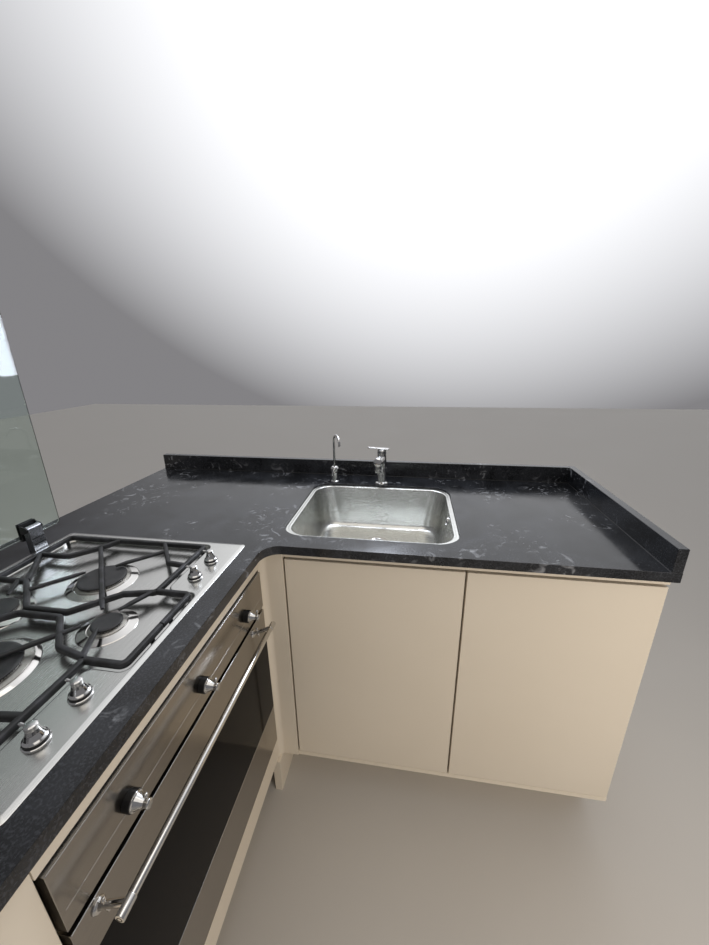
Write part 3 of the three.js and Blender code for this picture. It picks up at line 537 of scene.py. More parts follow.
def ring_of_copies():
    """Copies of the incoming shape on a level circle, each turned to look outwards."""
    inputs = {
        "Count": "NodeSocketInt", "Radius": "NodeSocketFloat", "Centre": "NodeSocketVector",
        "Turn": "NodeSocketRotation", "Material": "NodeSocketMaterial",
    }
    tree, given = geometry_tree("ring_of_copies", inputs)
    links = {"Vertices": given["Count"], "Radius": given["Radius"]}
    circle = add(tree, "GeometryNodeMeshCircle", links).outputs[0]
    links = {"Vector": add(tree, "GeometryNodeInputPosition").outputs[0]}
    outward = add(tree, "FunctionNodeAlignRotationToVector", links, axis="X", pivot_axis="Z").outputs[0]
    links = {"Points": circle, "Instance": given["Geometry"], "Rotation": outward}
    copies = add(tree, "GeometryNodeInstanceOnPoints", links).outputs[0]
    links = {"Geometry": copies, "Rotation": given["Turn"], "Translation": given["Centre"]}
    return finish_tree(tree, add(tree, "GeometryNodeTransform", links).outputs[0], given)


def row_of_copies():
    """Copies of the incoming shape at equal steps from a start."""
    inputs = {
        "Count": "NodeSocketInt", "Start": "NodeSocketVector", "Step": "NodeSocketVector",
        "Material": "NodeSocketMaterial",
    }
    tree, given = geometry_tree("row_of_copies", inputs)
    links = {"Count": given["Count"], "Start Location": given["Start"], "Offset": given["Step"]}
    line = add(tree, "GeometryNodeMeshLine", links).outputs[0]
    links = {"Points": line, "Instance": given["Geometry"]}
    return finish_tree(tree, add(tree, "GeometryNodeInstanceOnPoints", links).outputs[0], given)


def bars_on_paths():
    """Bars of a rounded section along the incoming paths; from a share of its length a bar thins."""
    sizes = ("Width", "Height", "Edge", "Corner", "Taper Start", "Tip")
    inputs = {**{size: "NodeSocketFloat" for size in sizes}, "Material": "NodeSocketMaterial"}
    tree, given = geometry_tree("bars_on_paths", inputs)
    path = add(tree, "GeometryNodeMeshToCurve", {"Mesh": given["Geometry"]}).outputs[0]
    links = {"Curve": path, "Count": 5, "Radius": given["Corner"], "Limit Radius": True}
    soft = add(tree, "GeometryNodeFilletCurve", links, mode="POLY").outputs[0]
    level = add(tree, "GeometryNodeSetCurveNormal", {"Curve": soft}, mode="Z_UP").outputs[0]
    links = {"Width": given["Width"], "Height": given["Height"]}
    section = add(tree, "GeometryNodeCurvePrimitiveQuadrilateral", links).outputs[0]
    links = {"Curve": section, "Count": 4, "Radius": given["Edge"], "Limit Radius": True}
    eased_section = add(tree, "GeometryNodeFilletCurve", links, mode="POLY").outputs[0]
    factor = add(tree, "GeometryNodeSplineParameter").outputs["Factor"]
    links = {"Value": factor, 1: given["Taper Start"], 2: 1.0, 3: 1.0, 4: given["Tip"]}
    thinner = add(tree, "ShaderNodeMapRange", links).outputs[0]
    links = {"Curve": level, "Profile Curve": eased_section, "Fill Caps": True, "Scale": thinner}
    return finish_tree(tree, add(tree, "GeometryNodeCurveToMesh", links).outputs[0], given)


RING, ROW, BARS = ring_of_copies(), row_of_copies(), bars_on_paths()


def grown(tree, shape, angle=35, **values):
    """The mesh that a tree makes from a shape, with its named inputs set before it is first evaluated."""
    source = scratch(shape)
    maker = source.modifiers.new("maker", "NODES")
    maker.node_group = tree
    by_name = {item.name: item.identifier for item in tree.interface.items_tree if item.in_out == "INPUT"}
    for name, value in values.items():
        maker[by_name[name.replace("_", " ")]] = value
    return with_material(smooth(evaluated(source), angle), values["Material"])


def ring_of(mesh, count, radius, centre, material, way=None):
    """Copies of a mesh on a circle of a radius in millimetres, level or with its axis pointing that way."""
    turn = towards(way).to_euler() if way else (0.0, 0.0, 0.0)
    return grown(RING, mesh, Count=count, Radius=radius * MM, Centre=centre, Turn=turn, Material=material)


def merged(meshes):
    """One mesh from several, each keeping its material."""
    whole = bpy.data.meshes.new("merged")
    work = bmesh.new()
    for mesh in meshes:
        index = len(whole.materials)
        whole.materials.append(mesh.materials[0])
        start = len(work.faces)
        work.from_mesh(mesh)
        work.faces.ensure_lookup_table()
        for face in work.faces[start:]:
            face.material_index = index
    work.to_mesh(whole)
    work.free()
    return whole


def with_material(mesh, material):
    mesh.materials.clear()
    mesh.materials.append(material)
    return mesh


def plug(radius, proud, deep, way=(0, 0, 1), segments=12):
    """A short round plug, seen as a hole, at the origin, proud of a face and deep in it, looking that way; in a
    dark material it paints the shade inside the hole.
    """
    profile = [(0, proud), (radius, proud), (radius, -deep), (0, -deep)]
    return to_mesh(turned(profile, ORIGIN, way, segments))


def block(size, at=(0, 0, 0)):
    """A block of a size in millimetres about a place in metres, for shapes that are eased or repeated."""
    work = bmesh.new()
    bmesh.ops.create_cube(work, size=1.0)
    bmesh.ops.scale(work, vec=[s * MM for s in size], verts=work.verts)
    bmesh.ops.translate(work, vec=at, verts=work.verts)
    return work


def eased_work(work, width, segments=2):
    """Eases every edge of an edit mesh by millimetres."""
    edges = list(work.edges)
    bmesh.ops.bevel(work, geom=edges, offset=width * MM, segments=segments, affect="EDGES", profile=0.5)
    return work


# Stone. The worktop's faces whose normal rises between these two belong to its eased edge.
EASED_EDGE = (0.2, 0.97)


def make_stone():
    slab = eased("worktop", granite, 2.0)
    # Faces of the eased edge take the stone with the painted highlight
    slab.data.materials.append(granite_arris_highlight)
    for face in slab.data.polygons:
        if EASED_EDGE[0] < face.normal.z < EASED_EDGE[1]:
            face.material_index = 1
    for node in ("back_upstand", "side_upstand"):
        eased(node, granite, 1.5)


# A bead of silicone where the upstands stand on the worktop: its size and the share its hollow face keeps
BEAD, BEAD_HOLLOW = 1.8, 0.45


def make_bead():
    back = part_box("back_upstand")
    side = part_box("side_upstand")
    r = BEAD * MM
    corner = Vector((side[0].x, back[0].y, STONE_TOP))
    ends = [Vector((back[0].x, back[0].y, STONE_TOP)), Vector((side[0].x, side[0].y, STONE_TOP))]
    work = bmesh.new()
    section = [(0, 0), (-r, 0), (-r * BEAD_HOLLOW, r * BEAD_HOLLOW), (0, r)]
    loops = []
    for place, across in ((ends[0], (0, 1)), (corner, (1, 1)), (ends[1], (1, 0))):
        loops.append([work.verts.new(place + Vector((across[0] * d, across[1] * d, h))) for d, h in section])
    for one, two in zip(loops, loops[1:]):
        for k in range(len(section)):
            n = (k + 1) % len(section)
            work.faces.new([one[k], one[n], two[n], two[k]])
    work.faces.new(loops[0][::-1])
    work.faces.new(loops[-1])
    piece("upstand_bead", to_mesh(work), "unit", seal_and_painted_shade)


# Painted boards and linings. On three boards stand the hinge arms, which lie beyond the board's face.
LACQUERED = ["front_rail", "corner_post", "corner_foot", "oven_top_rail", "oven_bottom_rail", "sink_plinth",
             "leg_plinth", "leg_back_panel"]
LINED = ["cupboard_floor", "oven_right_panel", "oven_left_panel", "oven_shelf", "end_cupboard_floor"]
DOORS = ["sink_door", "right_door", "end_door"]
BOARD = 18 * MM


def make_boards():
    for node in LACQUERED:
        eased(node, lacquer, 0.8)
    for node in LINED:
        eased(node, lining, 0.6)
    for node in DOORS:
        eased(node, lacquer, 1.4, segments=3)
    eased("back_panel", plywood, 0.5)
    right_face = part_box("right_side_panel")[1].x - BOARD
    eased("right_side_panel", lacquer, 0.8, nickel, lambda c: c.x < right_face - HAIR)
    partition_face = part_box("sink_partition")[1].x - BOARD
    eased("sink_partition", lining, 0.6, nickel, lambda c: c.x < partition_face - HAIR)
    end_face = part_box("end_panel")[0].y + BOARD
    eased("end_panel", lacquer, 0.8, nickel, lambda c: c.y > end_face + HAIR)


# Hinge cups let into the backs of the doors, and rows of shelf-pin holes inside the cupboards, each hole a dark
# plug that paints its shade
HINGE = {
    "heights": [230, 750], "cup": 17.5, "lip": 3, "proud": 0.15, "inset": 22, "screw": 3.2,
    "screws_apart": 45, "screws_back": 9.5,
}
PINS = {
    "hole": 2.5, "pitch": 32, "first": 280, "count": 14, "proud": 0.1, "deep": 0.2, "columns": [-470, -90],
}


def hinge_cups(door, inward, hinge_side):
    """Cup plates on the back of a door. inward points into the cupboard, hinge_side to the door's hinge."""
    low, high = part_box(door)
    inward, hinge_side = Vector(inward), Vector(hinge_side)
    back = Vector([(high if inward[k] > 0 else low)[k] if inward[k] else 0 for k in range(3)])
    edge = Vector([(high if hinge_side[k] > 0 else low)[k] if hinge_side[k] else 0 for k in range(3)])
    works = []
    cup, lip, proud, screw = (HINGE[k] for k in ("cup", "lip", "proud", "screw"))
    dish = [(0, 0), (cup - lip, 0), (cup - lip + 0.6, proud), (cup, proud), (cup + 0.2, -0.05), (0, -0.06)]
    head = [(0, proud), (screw, proud - 0.05), (screw, -0.05), (0, -0.05)]
    for height in HINGE["heights"]:
        at = back + edge - hinge_side * HINGE["inset"] * MM + Vector((0, 0, height * MM))
        works.append(turned(dish, at, inward, 32))
        for side in (-1, 1):
            up = Vector((0, 0, side * HINGE["screws_apart"] / 2 * MM))
            works.append(turned(head, at + up - hinge_side * HINGE["screws_back"] * MM, inward, 20))
    piece(door + "_hinge_cups", to_mesh(joined(works)), body_of(door), nickel)


def shelf_pins(x, y, way):
    """A column of shelf-pin holes at (x, y) on a board's face, which looks that way."""
    hole = plug(PINS["hole"], PINS["proud"], PINS["deep"], way, 16)
    start = spot(x, y, PINS["first"])
    return grown(ROW, hole, Count=PINS["count"], Start=start, Step=(0, 0, PINS["pitch"] * MM), Material=seal_and_painted_shade)


def make_cupboard_fittings():
    for door in ("sink_door", "right_door"):
        hinge_cups(door, (0, 1, 0), (1, 0, 0))
    hinge_cups("end_door", (-1, 0, 0), (0, -1, 0))
    right = (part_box("right_side_panel")[1].x - BOARD - RIGHT_END) / MM
    partition = (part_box("sink_partition")[1].x - RIGHT_END) / MM
    columns = []
    for y in PINS["columns"]:
        columns.append(shelf_pins(right, y, (-1, 0, 0)))
        columns.append(shelf_pins(partition, y, (1, 0, 0)))
    fixed("shelf_pin_holes", columns)


# Sink: bowl pressed from one sheet, its rim sunk in the stone's rebate, with overflow ring and strainer
BOWL = {"x": -690, "y": -331.8, "width": 446.5, "depth": 378.5, "floor": 745.7, "sheet": 1.0}
DRAIN = {"x": -690, "y": -271.8, "hole": 41}
OVERFLOW = {
    "y": -332, "z": 866, "radius": 15, "in": 4.2, "way": (-1, 0, 0.12), "holes": 8, "hole_circle": 6,
    "hole": 1.6, "proud": 0.25, "deep": 0.3,
}
# The joint's section by its growth over the bowl's mouth and its height; corner is its radius at no growth
RIM_JOINT = {"inner": 15.3, "outer": 16.4, "low": 892.6, "high": 893.5, "corner": 46.5}
# The strainer's circles of holes are given as the circle's radius and its number of holes; each hole is a dark
# plug that paints the shade inside it
STRAINER = {"low": 3, "circles": [(11, 12), (16, 18), (21, 24)], "hole": 1.7, "proud": 0.05, "deep": 0.4}
# The bowl's wall leans in by steps as it goes down and then bends into the floor; growth, radius and height
BOWL_WALL = {"top": (-1, 55, 882), "step": (-3, 1.4, -22), "rings": 6}
BOWL_BEND = {"radius": 24, "corner_step": 0.8, "rings": 8}


def mouth_ring(growth, radius, z):
    """The bowl's mouth grown all round by millimetres, with that corner radius and height."""
    width, depth = BOWL["width"] + 2 * growth, BOWL["depth"] + 2 * growth
    return rounded_rect(BOWL["x"], BOWL["y"], width, depth, radius, z)


def bowl_rings():
    """The sheet's upper face from its outer edge to the drain; rim, wall and bend are rows of mouth_ring."""
    rim = [
        (15.5, 62, 892.5), (15.5, 62, 893.5), (14.9, 62, 894), (12, 60.5, 894), (11, 60, 893.6),
        (7.5, 58, 893.6), (6.5, 57.6, 894), (4, 56.5, 894), (2.2, 55.6, 893.6), (0.9, 55, 892.6),
        (0.2, 54.6, 890.6), (0, 54.5, 888),
    ]
    top, step = BOWL_WALL["top"], BOWL_WALL["step"]
    wall = [[a + k * b for a, b in zip(top, step)] for k in range(BOWL_WALL["rings"])]
    growth, corner, z = wall[-1]
    bend = []
    r, corner_step, count = (BOWL_BEND[k] for k in ("radius", "corner_step", "rings"))
    for k in range(1, count + 1):
        a = math.pi / 2 * k / count
        bend.append((growth - r * (1 - math.cos(a)), corner + corner_step * k, z - r * math.sin(a)))
    rings = [mouth_ring(*row) for row in rim + wall + bend]
    last_growth, last_radius, last_z = bend[-1]
    hole = DRAIN["hole"]
    width, depth = BOWL["width"] + 2 * last_growth, BOWL["depth"] + 2 * last_growth
    foot = (BOWL["x"], BOWL["y"], width, depth, last_radius, last_z)
    drain = (DRAIN["x"], DRAIN["y"], 2 * hole, 2 * hole, hole, BOWL["floor"])
    for share in (0.25, 0.5, 0.75, 0.92, 1.0):
        x, y, width, depth, radius, z = (a * (1 - share) + b * share for a, b in zip(foot, drain))
        rings.append(rounded_rect(x, y, width, depth, min(radius, width / 2, depth / 2), z))
    return rings


def make_bowl():
    work = bmesh.new()
    loops_between(work, bowl_rings())
    bmesh.ops.remove_doubles(work, verts=work.verts, dist=WELD)
    bmesh.ops.recalc_face_normals(work, faces=work.faces)
    if sum(f.normal.z for f in work.faces) < 0:
        bmesh.ops.reverse_faces(work, faces=work.faces)
    mesh = bpy.data.meshes.new("sink_skin")
    work.to_mesh(mesh)
    work.free()
    skin = scratch(mesh)
    wall = skin.modifiers.new("wall", "SOLIDIFY")
    wall.thickness = BOWL["sheet"] * MM
    wall.offset = -1
    piece("sink_pressing", smooth(evaluated(skin), 40), "unit", steel_sink, ["sink_bowl"])

    joint = bmesh.new()
    inner, outer, low, high = (RIM_JOINT[k] for k in ("inner", "outer", "low", "high"))
    section = [(inner, low), (outer, low), (outer, high), (inner, high), (inner, low)]
    loops_between(joint, [mouth_ring(growth, RIM_JOINT["corner"] + growth, z) for growth, z in section])
    bmesh.ops.remove_doubles(joint, verts=joint.verts, dist=WELD)
    piece("sink_rim_joint", to_mesh(joint), "unit", seal_and_painted_shade)


def make_sink_fittings():
    at = spot(DRAIN["x"], DRAIN["y"], BOWL["floor"])
    dish = rounded([
        (0, -3, 0), (24, -3, 2), (31, 0.8, 3), (42, 1.4, 0.8), (42.8, -0.1, 0.2), (33, -0.2, 0),
        (33, -9, 0), (0, -9, 0),
    ])
    knob = rounded([(0, 4.6, 0), (5, 4.6, 1.5), (6.5, 2, 1), (4, -1, 0.5), (4, -4, 0), (0, -4, 0)])
    body = with_material(to_mesh(joined([turned(dish, at), turned(knob, at, segments=24)])), chrome)
    centre = spot(DRAIN["x"], DRAIN["y"], BOWL["floor"] - STRAINER["low"])
    rings = []
    for radius, count in STRAINER["circles"]:
        hole = plug(STRAINER["hole"], STRAINER["proud"], STRAINER["deep"])
        rings.append(ring_of(hole, count, radius, centre, seal_and_painted_shade))
    fixed("sink_strainer_dish", [body, *rings], ["sink_strainer"])

    face = spot(BOWL["x"] + BOWL["width"] / 2 - OVERFLOW["in"], OVERFLOW["y"], OVERFLOW["z"])
    r = OVERFLOW["radius"]
    ring = rounded([
        (0, -0.4, 0), (r - 5, -0.4, 0.4), (r - 4.4, 1.8, 0.9), (r, 1.6, 0.8), (r + 0.4, -0.8, 0),
        (0, -0.8, 0),
    ])
    way = OVERFLOW["way"]
    cover = turned_mesh(ring, face, chrome, way, 36)
    # The overflow's holes are dark plugs: painted shade inside them
    hole = plug(OVERFLOW["hole"], OVERFLOW["proud"], OVERFLOW["deep"])
    holes = ring_of(hole, OVERFLOW["holes"], OVERFLOW["hole_circle"], face, seal_and_painted_shade, way)
    fixed("sink_overflow_ring", [cover, holes])


# Taps
MIXER = {
    "x": -690, "y": -99, "column": 17, "base": 25, "step": 960, "sleeve": 1012, "arm": 995, "rise": 7,
    "turn": -3, "reach": 108, "nozzle_reach": 92, "nozzle_low": 970, "nozzle_high": 1002, "lean": 3.5,
    "plate": 4, "plate_low": 1028,
}
FILTER = {
    "x": -866, "y": -96, "body_top": 958, "tube": 4.15, "bend": 31, "bend_z": 1048, "heading": (0.5, -0.866),
    "tip_drop": 2,
}
NECK_STEPS = 24


def make_mixer():
    at = spot(MIXER["x"], MIXER["y"], 0)
    c, low = MIXER["column"], STONE_TOP / MM
    column = rounded([
        (0, low - 64, 0), (13, low - 64, 0), (13, low - 38, 0), (30, low - 38, 1), (30, low - 24, 1),
        (17, low - 24, 0), (17, low, 0), (MIXER["base"], low, 0.3), (MIXER["base"], low + 2.8, 1.3),
        (22, low + 5.4, 2), (c, low + 7, 2.4), (c, MIXER["step"], 0.5), (10, MIXER["step"], 0),
        (10, MIXER["sleeve"], 0), (0, MIXER["sleeve"], 0),
    ])
    piece("mixer_column", to_mesh(turned(column, at), 40), "unit", chrome, ["mixer_body"])

    sleeve = rounded([
        (10.4, MIXER["step"] + 0.4, 0), (c, MIXER["step"] + 0.4, 0.5), (c, MIXER["sleeve"] - 0.2, 0.5),
        (10.4, MIXER["sleeve"] - 0.2, 0), (10.4, MIXER["step"] + 0.4, 0),
    ])
    turn = Matrix.Rotation(math.radians(MIXER["turn"]), 4, "Z")
    tilt = Matrix.Rotation(math.radians(-MIXER["rise"]), 4, "X")
    reach = MIXER["reach"]
    arm = rounded([(0, 4, 0), (14, 4, 1), (14.3, 20, 0), (15.2, reach - 0.4, 7), (0, reach, 0)], 8)
    root = spot(MIXER["x"], MIXER["y"], MIXER["arm"])
    outward = turned(arm, root, (0, -1, 0), 40, turn @ tilt)
    tip = at + turn @ Vector((0, -MIXER["nozzle_reach"] * MM, 0))
    low, high = MIXER["nozzle_low"], MIXER["nozzle_high"]
    nozzle = rounded([
        (0, low + 1.4, 0), (8.6, low + 1.4, 0), (8.6, low, 0.2), (11.5, low, 0.8), (11.5, low + 8, 0.3),
        (10.8, low + 8.6, 0.2), (11.5, low + 9.2, 0.3), (11.5, high, 0), (0, high, 0),
    ])
    swivel = [turned(sleeve, at), outward, turned(nozzle, tip, segments=36)]
    piece("mixer_swan", to_mesh(joined(swivel), 40), "mixer_spout", chrome, ["mixer_spout"])

    start = MIXER["sleeve"] + 0.4
    cap = rounded([
        (0, start, 0), (c, start, 0.5), (c, start + 11.5, 2.5), (12, start + 15.6, 2), (0, start + 16.4, 0),
    ])
    outline = [(22, -11), (25.5, -6), (26.4, 0), (25.5, 6), (22, 11), (8, 11.5), (-14, 9.6), (-40, 8)]
    for k in range(1, 8):
        a = math.pi / 2 + math.pi * k / 8
        outline.append((-44 + 8 * math.cos(a), 8 * math.sin(a)))
    outline += [(-40, -8), (-14, -9.6), (8, -11.5)]
    plate = bmesh.new()
    face = plate.faces.new([plate.verts.new((x * MM, y * MM, 0)) for x, y in outline])
    raised = bmesh.ops.extrude_face_region(plate, geom=[face])
    tops = [g for g in raised["geom"] if isinstance(g, bmesh.types.BMVert)]
    bmesh.ops.translate(plate, vec=(0, 0, MIXER["plate"] * MM), verts=tops)
    eased_work(plate, 1.1, 3)
    lean = Matrix.Rotation(math.radians(MIXER["lean"]), 4, "Y")
    place = Matrix.Translation(spot(MIXER["x"], MIXER["y"], MIXER["plate_low"]))
    bmesh.ops.transform(plate, matrix=place @ lean, verts=plate.verts)
    lever = to_mesh(joined([turned(cap, at), plate]), 40)
    piece("mixer_paddle", lever, "unit", chrome, ["mixer_lever"])


def swept(path, radii, sides=6):
    """A round tube along points in metres; radii in millimetres, one for all or a list with one a point."""
    if not isinstance(radii, list):
        radii = [radii] * len(path)
    curve = bpy.data.curves.new("swept", "CURVE")
    curve.dimensions = "3D"
    line = curve.splines.new("POLY")
    line.points.add(len(path) - 1)
    for point, place, radius in zip(line.points, path, radii):
        point.co = (*place, 1.0)
        point.radius = radius
    curve.bevel_depth = MM
    curve.bevel_resolution = sides
    curve.use_fill_caps = True
    return smooth(evaluated(scratch(curve)), 50)


def make_filter_tap():
    at = spot(FILTER["x"], FILTER["y"], 0)
    low, top = STONE_TOP / MM, FILTER["body_top"]
    body = rounded([
        (0, low - 54, 0), (6.5, low - 54, 0), (6.5, low - 34, 0), (14, low - 34, 0.5), (14, low - 24, 0.5),
        (6.5, low - 24, 0), (6.5, low, 0), (16, low, 0.3), (16, low + 1.6, 0.8), (13, low + 3.4, 1.2),
        (13, top - 24, 1), (15.5, top - 18, 2), (15.5, top - 8, 3), (10.5, top - 1.8, 2.5),
        (6, top - 0.3, 0.4), (0, top - 0.3, 0),
    ])
    column = turned_mesh(body, at, chrome, segments=40, angle=40)
    lever_path = [
        (2.5, -9, -6), (2, -14, -9), (0.5, -18.5, -14), (-2, -22, -21), (-4, -24.5, -28),
        (-4.6, -25.4, -31),
    ]
    places = [at + Vector((x * MM, y * MM, (top + z) * MM)) for x, y, z in lever_path]
    lever = with_material(swept(places, [4.6, 4.4, 3.6, 3, 3.6, 1.8]), chrome)
    fixed("filter_tap_column", [column, lever], ["filter_tap_body"])

    hx, hy = FILTER["heading"]
    bend, z = FILTER["bend"], FILTER["bend_z"]
    path = [spot(FILTER["x"], FILTER["y"], top + 0.2), spot(FILTER["x"], FILTER["y"], z)]
    for k in range(1, NECK_STEPS + 1):
        a = math.pi * (1 - k / NECK_STEPS)
        reach = bend * (1 + math.cos(a))
        path.append(spot(FILTER["x"] + hx * reach, FILTER["y"] + hy * reach, z + bend * math.sin(a)))
    path.append(spot(FILTER["x"] + hx * 2 * bend, FILTER["y"] + hy * 2 * bend, z - FILTER["tip_drop"]))
    tube = swept(path, FILTER["tube"])
    piece("filter_tap_neck", tube, "filter_tap_spout", chrome, ["filter_tap_spout"])


# Hob: pressed tray, four burners, cast pan supports and knobs
HOB_FLOOR, HOB_EDGE, HOB_TOP = 888, 900.1, 903
LID_LOW, LID_HIGH = 896.5, 901.5
BURNERS = [
    {"name": "right", "x": -1243, "y": -780, "dish": 69, "base": 54, "cap": 47},
    {"name": "front", "x": -1122, "y": -905, "dish": 50, "base": 33, "cap": 26},
    {"name": "rear", "x": -1365, "y": -905, "dish": 60, "base": 44, "cap": 37},
    {"name": "left", "x": -1243, "y": -1030, "dish": 81, "base": 72, "cap": 60},
]
FLAME_SLOT = {"deep": 1.2, "width": 1.3, "height": 2.2, "pitch": 4.4, "in": 1.4, "down": 1.3}
# How much of the crown shows below the cap
CROWN_SHOWS = 1.7
TRAY = {
    "side": 16, "line": -1072, "bulge": -1003, "bulge_right": -808, "bulge_left": -1002, "corner": 18,
    "end": 14, "swing": 20, "brow": 3.2, "foot": 3.5, "corner_out": 10, "corner_least": 5, "skirt_end": 12,
    "skirt_side": 18, "skirt_low": 866, "sheet": 2,
}


def tray_recess(grow, z):
    """The closed outline of the tray's recess, grown all round by millimetres, at a height."""
    low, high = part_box("hob_tray")
    left, right = (low - spot(0, 0, 0)) / MM, (high - spot(0, 0, 0)) / MM
    x0, x1, x2 = left.x + TRAY["side"] - grow, TRAY["line"] + grow, TRAY["bulge"] + grow
    y0, y1 = left.y + TRAY["side"] - grow, right.y - TRAY["side"] + grow
    y2, y3 = TRAY["bulge_left"] - grow, TRAY["bulge_right"] + grow
    corner, end, swing = TRAY["corner"] + grow, TRAY["end"] + grow, TRAY["swing"] - grow
    corners = [
        (x0, y0, corner), (x1, y0, corner), (x1, y2, swing), (x2, y2, end), (x2, y3, end), (x1, y3, swing),
        (x1, y1, corner), (x0, y1, corner),
    ]
    return [(x, y, z) for x, y in rounded(corners, 6, closed=True)]


def make_hob_tray():
    low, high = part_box("hob_tray")
    centre, size = (low + high) / 2 - spot(0, 0, 0), (high - low) / MM
    cx, cy = centre.x / MM, centre.y / MM

    def level(end, side, z):
        radius = max(TRAY["corner_out"] - end, TRAY["corner_least"])
        return rounded_rect(cx, cy, size.x - 2 * end, size.y - 2 * side, radius, z)

    end, side, skirt_low, sheet = (TRAY[k] for k in ("skirt_end", "skirt_side", "skirt_low", "sheet"))
    outside = [
        level(end + sheet, side + sheet, HOB_FLOOR - sheet), level(end + sheet, side + sheet, skirt_low),
        level(end, side, skirt_low), level(end, side, HOB_EDGE), level(0, 0, HOB_EDGE),
        level(0, 0, HOB_EDGE + 0.8), level(0.8, 0.8, HOB_EDGE + 1.3), level(7.4, 7.4, HOB_TOP - 0.2),
        level(8.6, 8.6, HOB_TOP),
    ]
    quarter = [math.pi / 2 * k / 5 for k in range(6)]
    brow, foot = TRAY["brow"], TRAY["foot"]
    recess = [tray_recess(brow * (1 - math.sin(a)), HOB_TOP - brow * (1 - math.cos(a))) for a in quarter]
    recess += [tray_recess(-foot * (1 - math.cos(a)), HOB_FLOOR + foot * (1 - math.sin(a))) for a in quarter]
    work = bmesh.new()
    shell = loops_between(work, outside)
    well = loops_between(work, recess)
    work.faces.new(shell[0])
    work.faces.new(well[-1])
    pairs = [(a, b) for ring in (shell[-1], well[0]) for a, b in zip(ring, ring[1:] + ring[:1])]
    edges = [work.edges.get(pair) or work.edges.new(pair) for pair in pairs]
    bmesh.ops.triangle_fill(work, edges=edges, use_beauty=True)
    pressing = settled(to_mesh(work, 25))
    piece("hob_pressing", pressing, "unit", steel_hob, ["hob_tray"])


def make_burner(name, x, y, dish, base, cap):
    at = spot(x, y, 0)
    f, low, high = HOB_FLOOR, LID_LOW + CROWN_SHOWS, LID_HIGH
    skirt = rounded([
        (0, f + 0.1, 0), (dish, f + 0.1, 0.05), (dish - 1.5, f + 1, 1), (base + 3, f + 3.8, 6),
        (base + 0.3, f + 4.8, 0.5), (base - 0.6, f + 4.2, 0.2), (cap - 0.5, f + 4.4, 0.4),
        (cap - 0.5, f + 4.8, 0), (0, f + 4.8, 0),
    ])
    pan = to_mesh(turned(skirt, at, segments=72), 50)
    piece("burner_skirt_" + name, pan, "unit", handle_chrome, ["burner_base_" + name])

    crown = rounded([
        (0, f + 4.3, 0), (base - 1.2, f + 4.3, 0.2), (base - 1.6, f + 5.6, 0.6), (cap + 0.6, f + 7.2, 1.2),
        (cap - 1, f + 7.6, 0.3), (cap - 1.2, low, 0), (0, low, 0),
    ])
    ring = turned_mesh(crown, at, aluminium, segments=64)
    # The flame slots are dark blocks on the crown: painted shade inside the slots
    dark = to_mesh(block([FLAME_SLOT[k] for k in ("deep", "width", "height")]))
    radius = cap - FLAME_SLOT["in"]
    count = round(2 * math.pi * radius / FLAME_SLOT["pitch"])
    centre = spot(x, y, low - FLAME_SLOT["down"])
    slots = ring_of(dark, count, radius, centre, seal_and_painted_shade)
    lid = rounded([
        (0, low, 0), (cap, low, 0.4), (cap, high - 0.9, 1), (cap - 4, high - 0.2, 4), (0, high, 0),
    ])
    cover = turned_mesh(lid, at, lid_enamel, segments=72, angle=50)
    fixed("burner_lid_" + name, [cover, ring, slots], ["burner_cap_" + name])


# Pan supports: the paths of their cast bars in plan, the left one mirrored from the right one. The ties are
# as deep as the frame, and the fingers over the burners are shallower and thin to their tips.
SUPPORT = {
    "width": 10, "high": 911, "low": 899, "finger_low": 903.3, "edge": 3.2, "corner": 9, "mid_y": -905,
    "end": -903.5, "thins_over": 24, "tip": 0.55,
}
SUPPORT_FRAME = [
    (-1083, -637), (-1462, -637), (-1462, -824), (-1384, -824), (-1298, -898), (-1210, -898), (-1146, -834),
    (-1083, -820),
]
TIES = {
    "front_edge": [(-1086, -817), (-1012, -817), (-1012, SUPPORT["end"])],
    "rear_edge": [(-1459, -821), (-1462, SUPPORT["end"])],
    "rear_brace": [(-1461, -722), (-1385, -722), (-1340, -676), (-1318, -639)],
    "rear_tie": [(-1459, -725), (-1385, -821)],
    "front_brace": [(-1190, -639), (-1128, -716), (-1085, -721)],
}
FINGERS = {
    "long_finger": [(-1341, -674), (-1172, -858), (-1150, -882)],
    "rear_finger": [(-1349, -851), (-1284, -778)],
    "front_finger": [(-1163, -670), (-1238, -746)],
    "small_finger": [(-1091, -823), (-1117, -880)],
    "far_finger": [(-1404, -823), (-1374, -870)],
}
TIP_LENGTH = 22
SUPPORT_FEET = [(-1462, -650), (-1083, -650), (-1462, -880), (-1012, -880)]


def path_mesh(paths, z, first_closed=False):
    """Edges along paths in plan at a height; the first path may be closed."""
    mesh = bpy.data.meshes.new("paths")
    points, edges = [], []
    for number, path in enumerate(paths):
        start = len(points)
        points += [spot(x, y, z) for x, y in path]
        edges += [(start + k, start + k + 1) for k in range(len(path) - 1)]
        if first_closed and number == 0:
            edges.append((len(points) - 1, start))
    mesh.from_pydata(points, edges, [])
    return mesh


def with_tip(path):
    """A path with one more point a little before its end, where its bar starts to thin."""
    before, end = Vector(path[-2]), Vector(path[-1])
    return [*path[:-1], tuple(end + (before - end).normalized() * TIP_LENGTH), path[-1]]


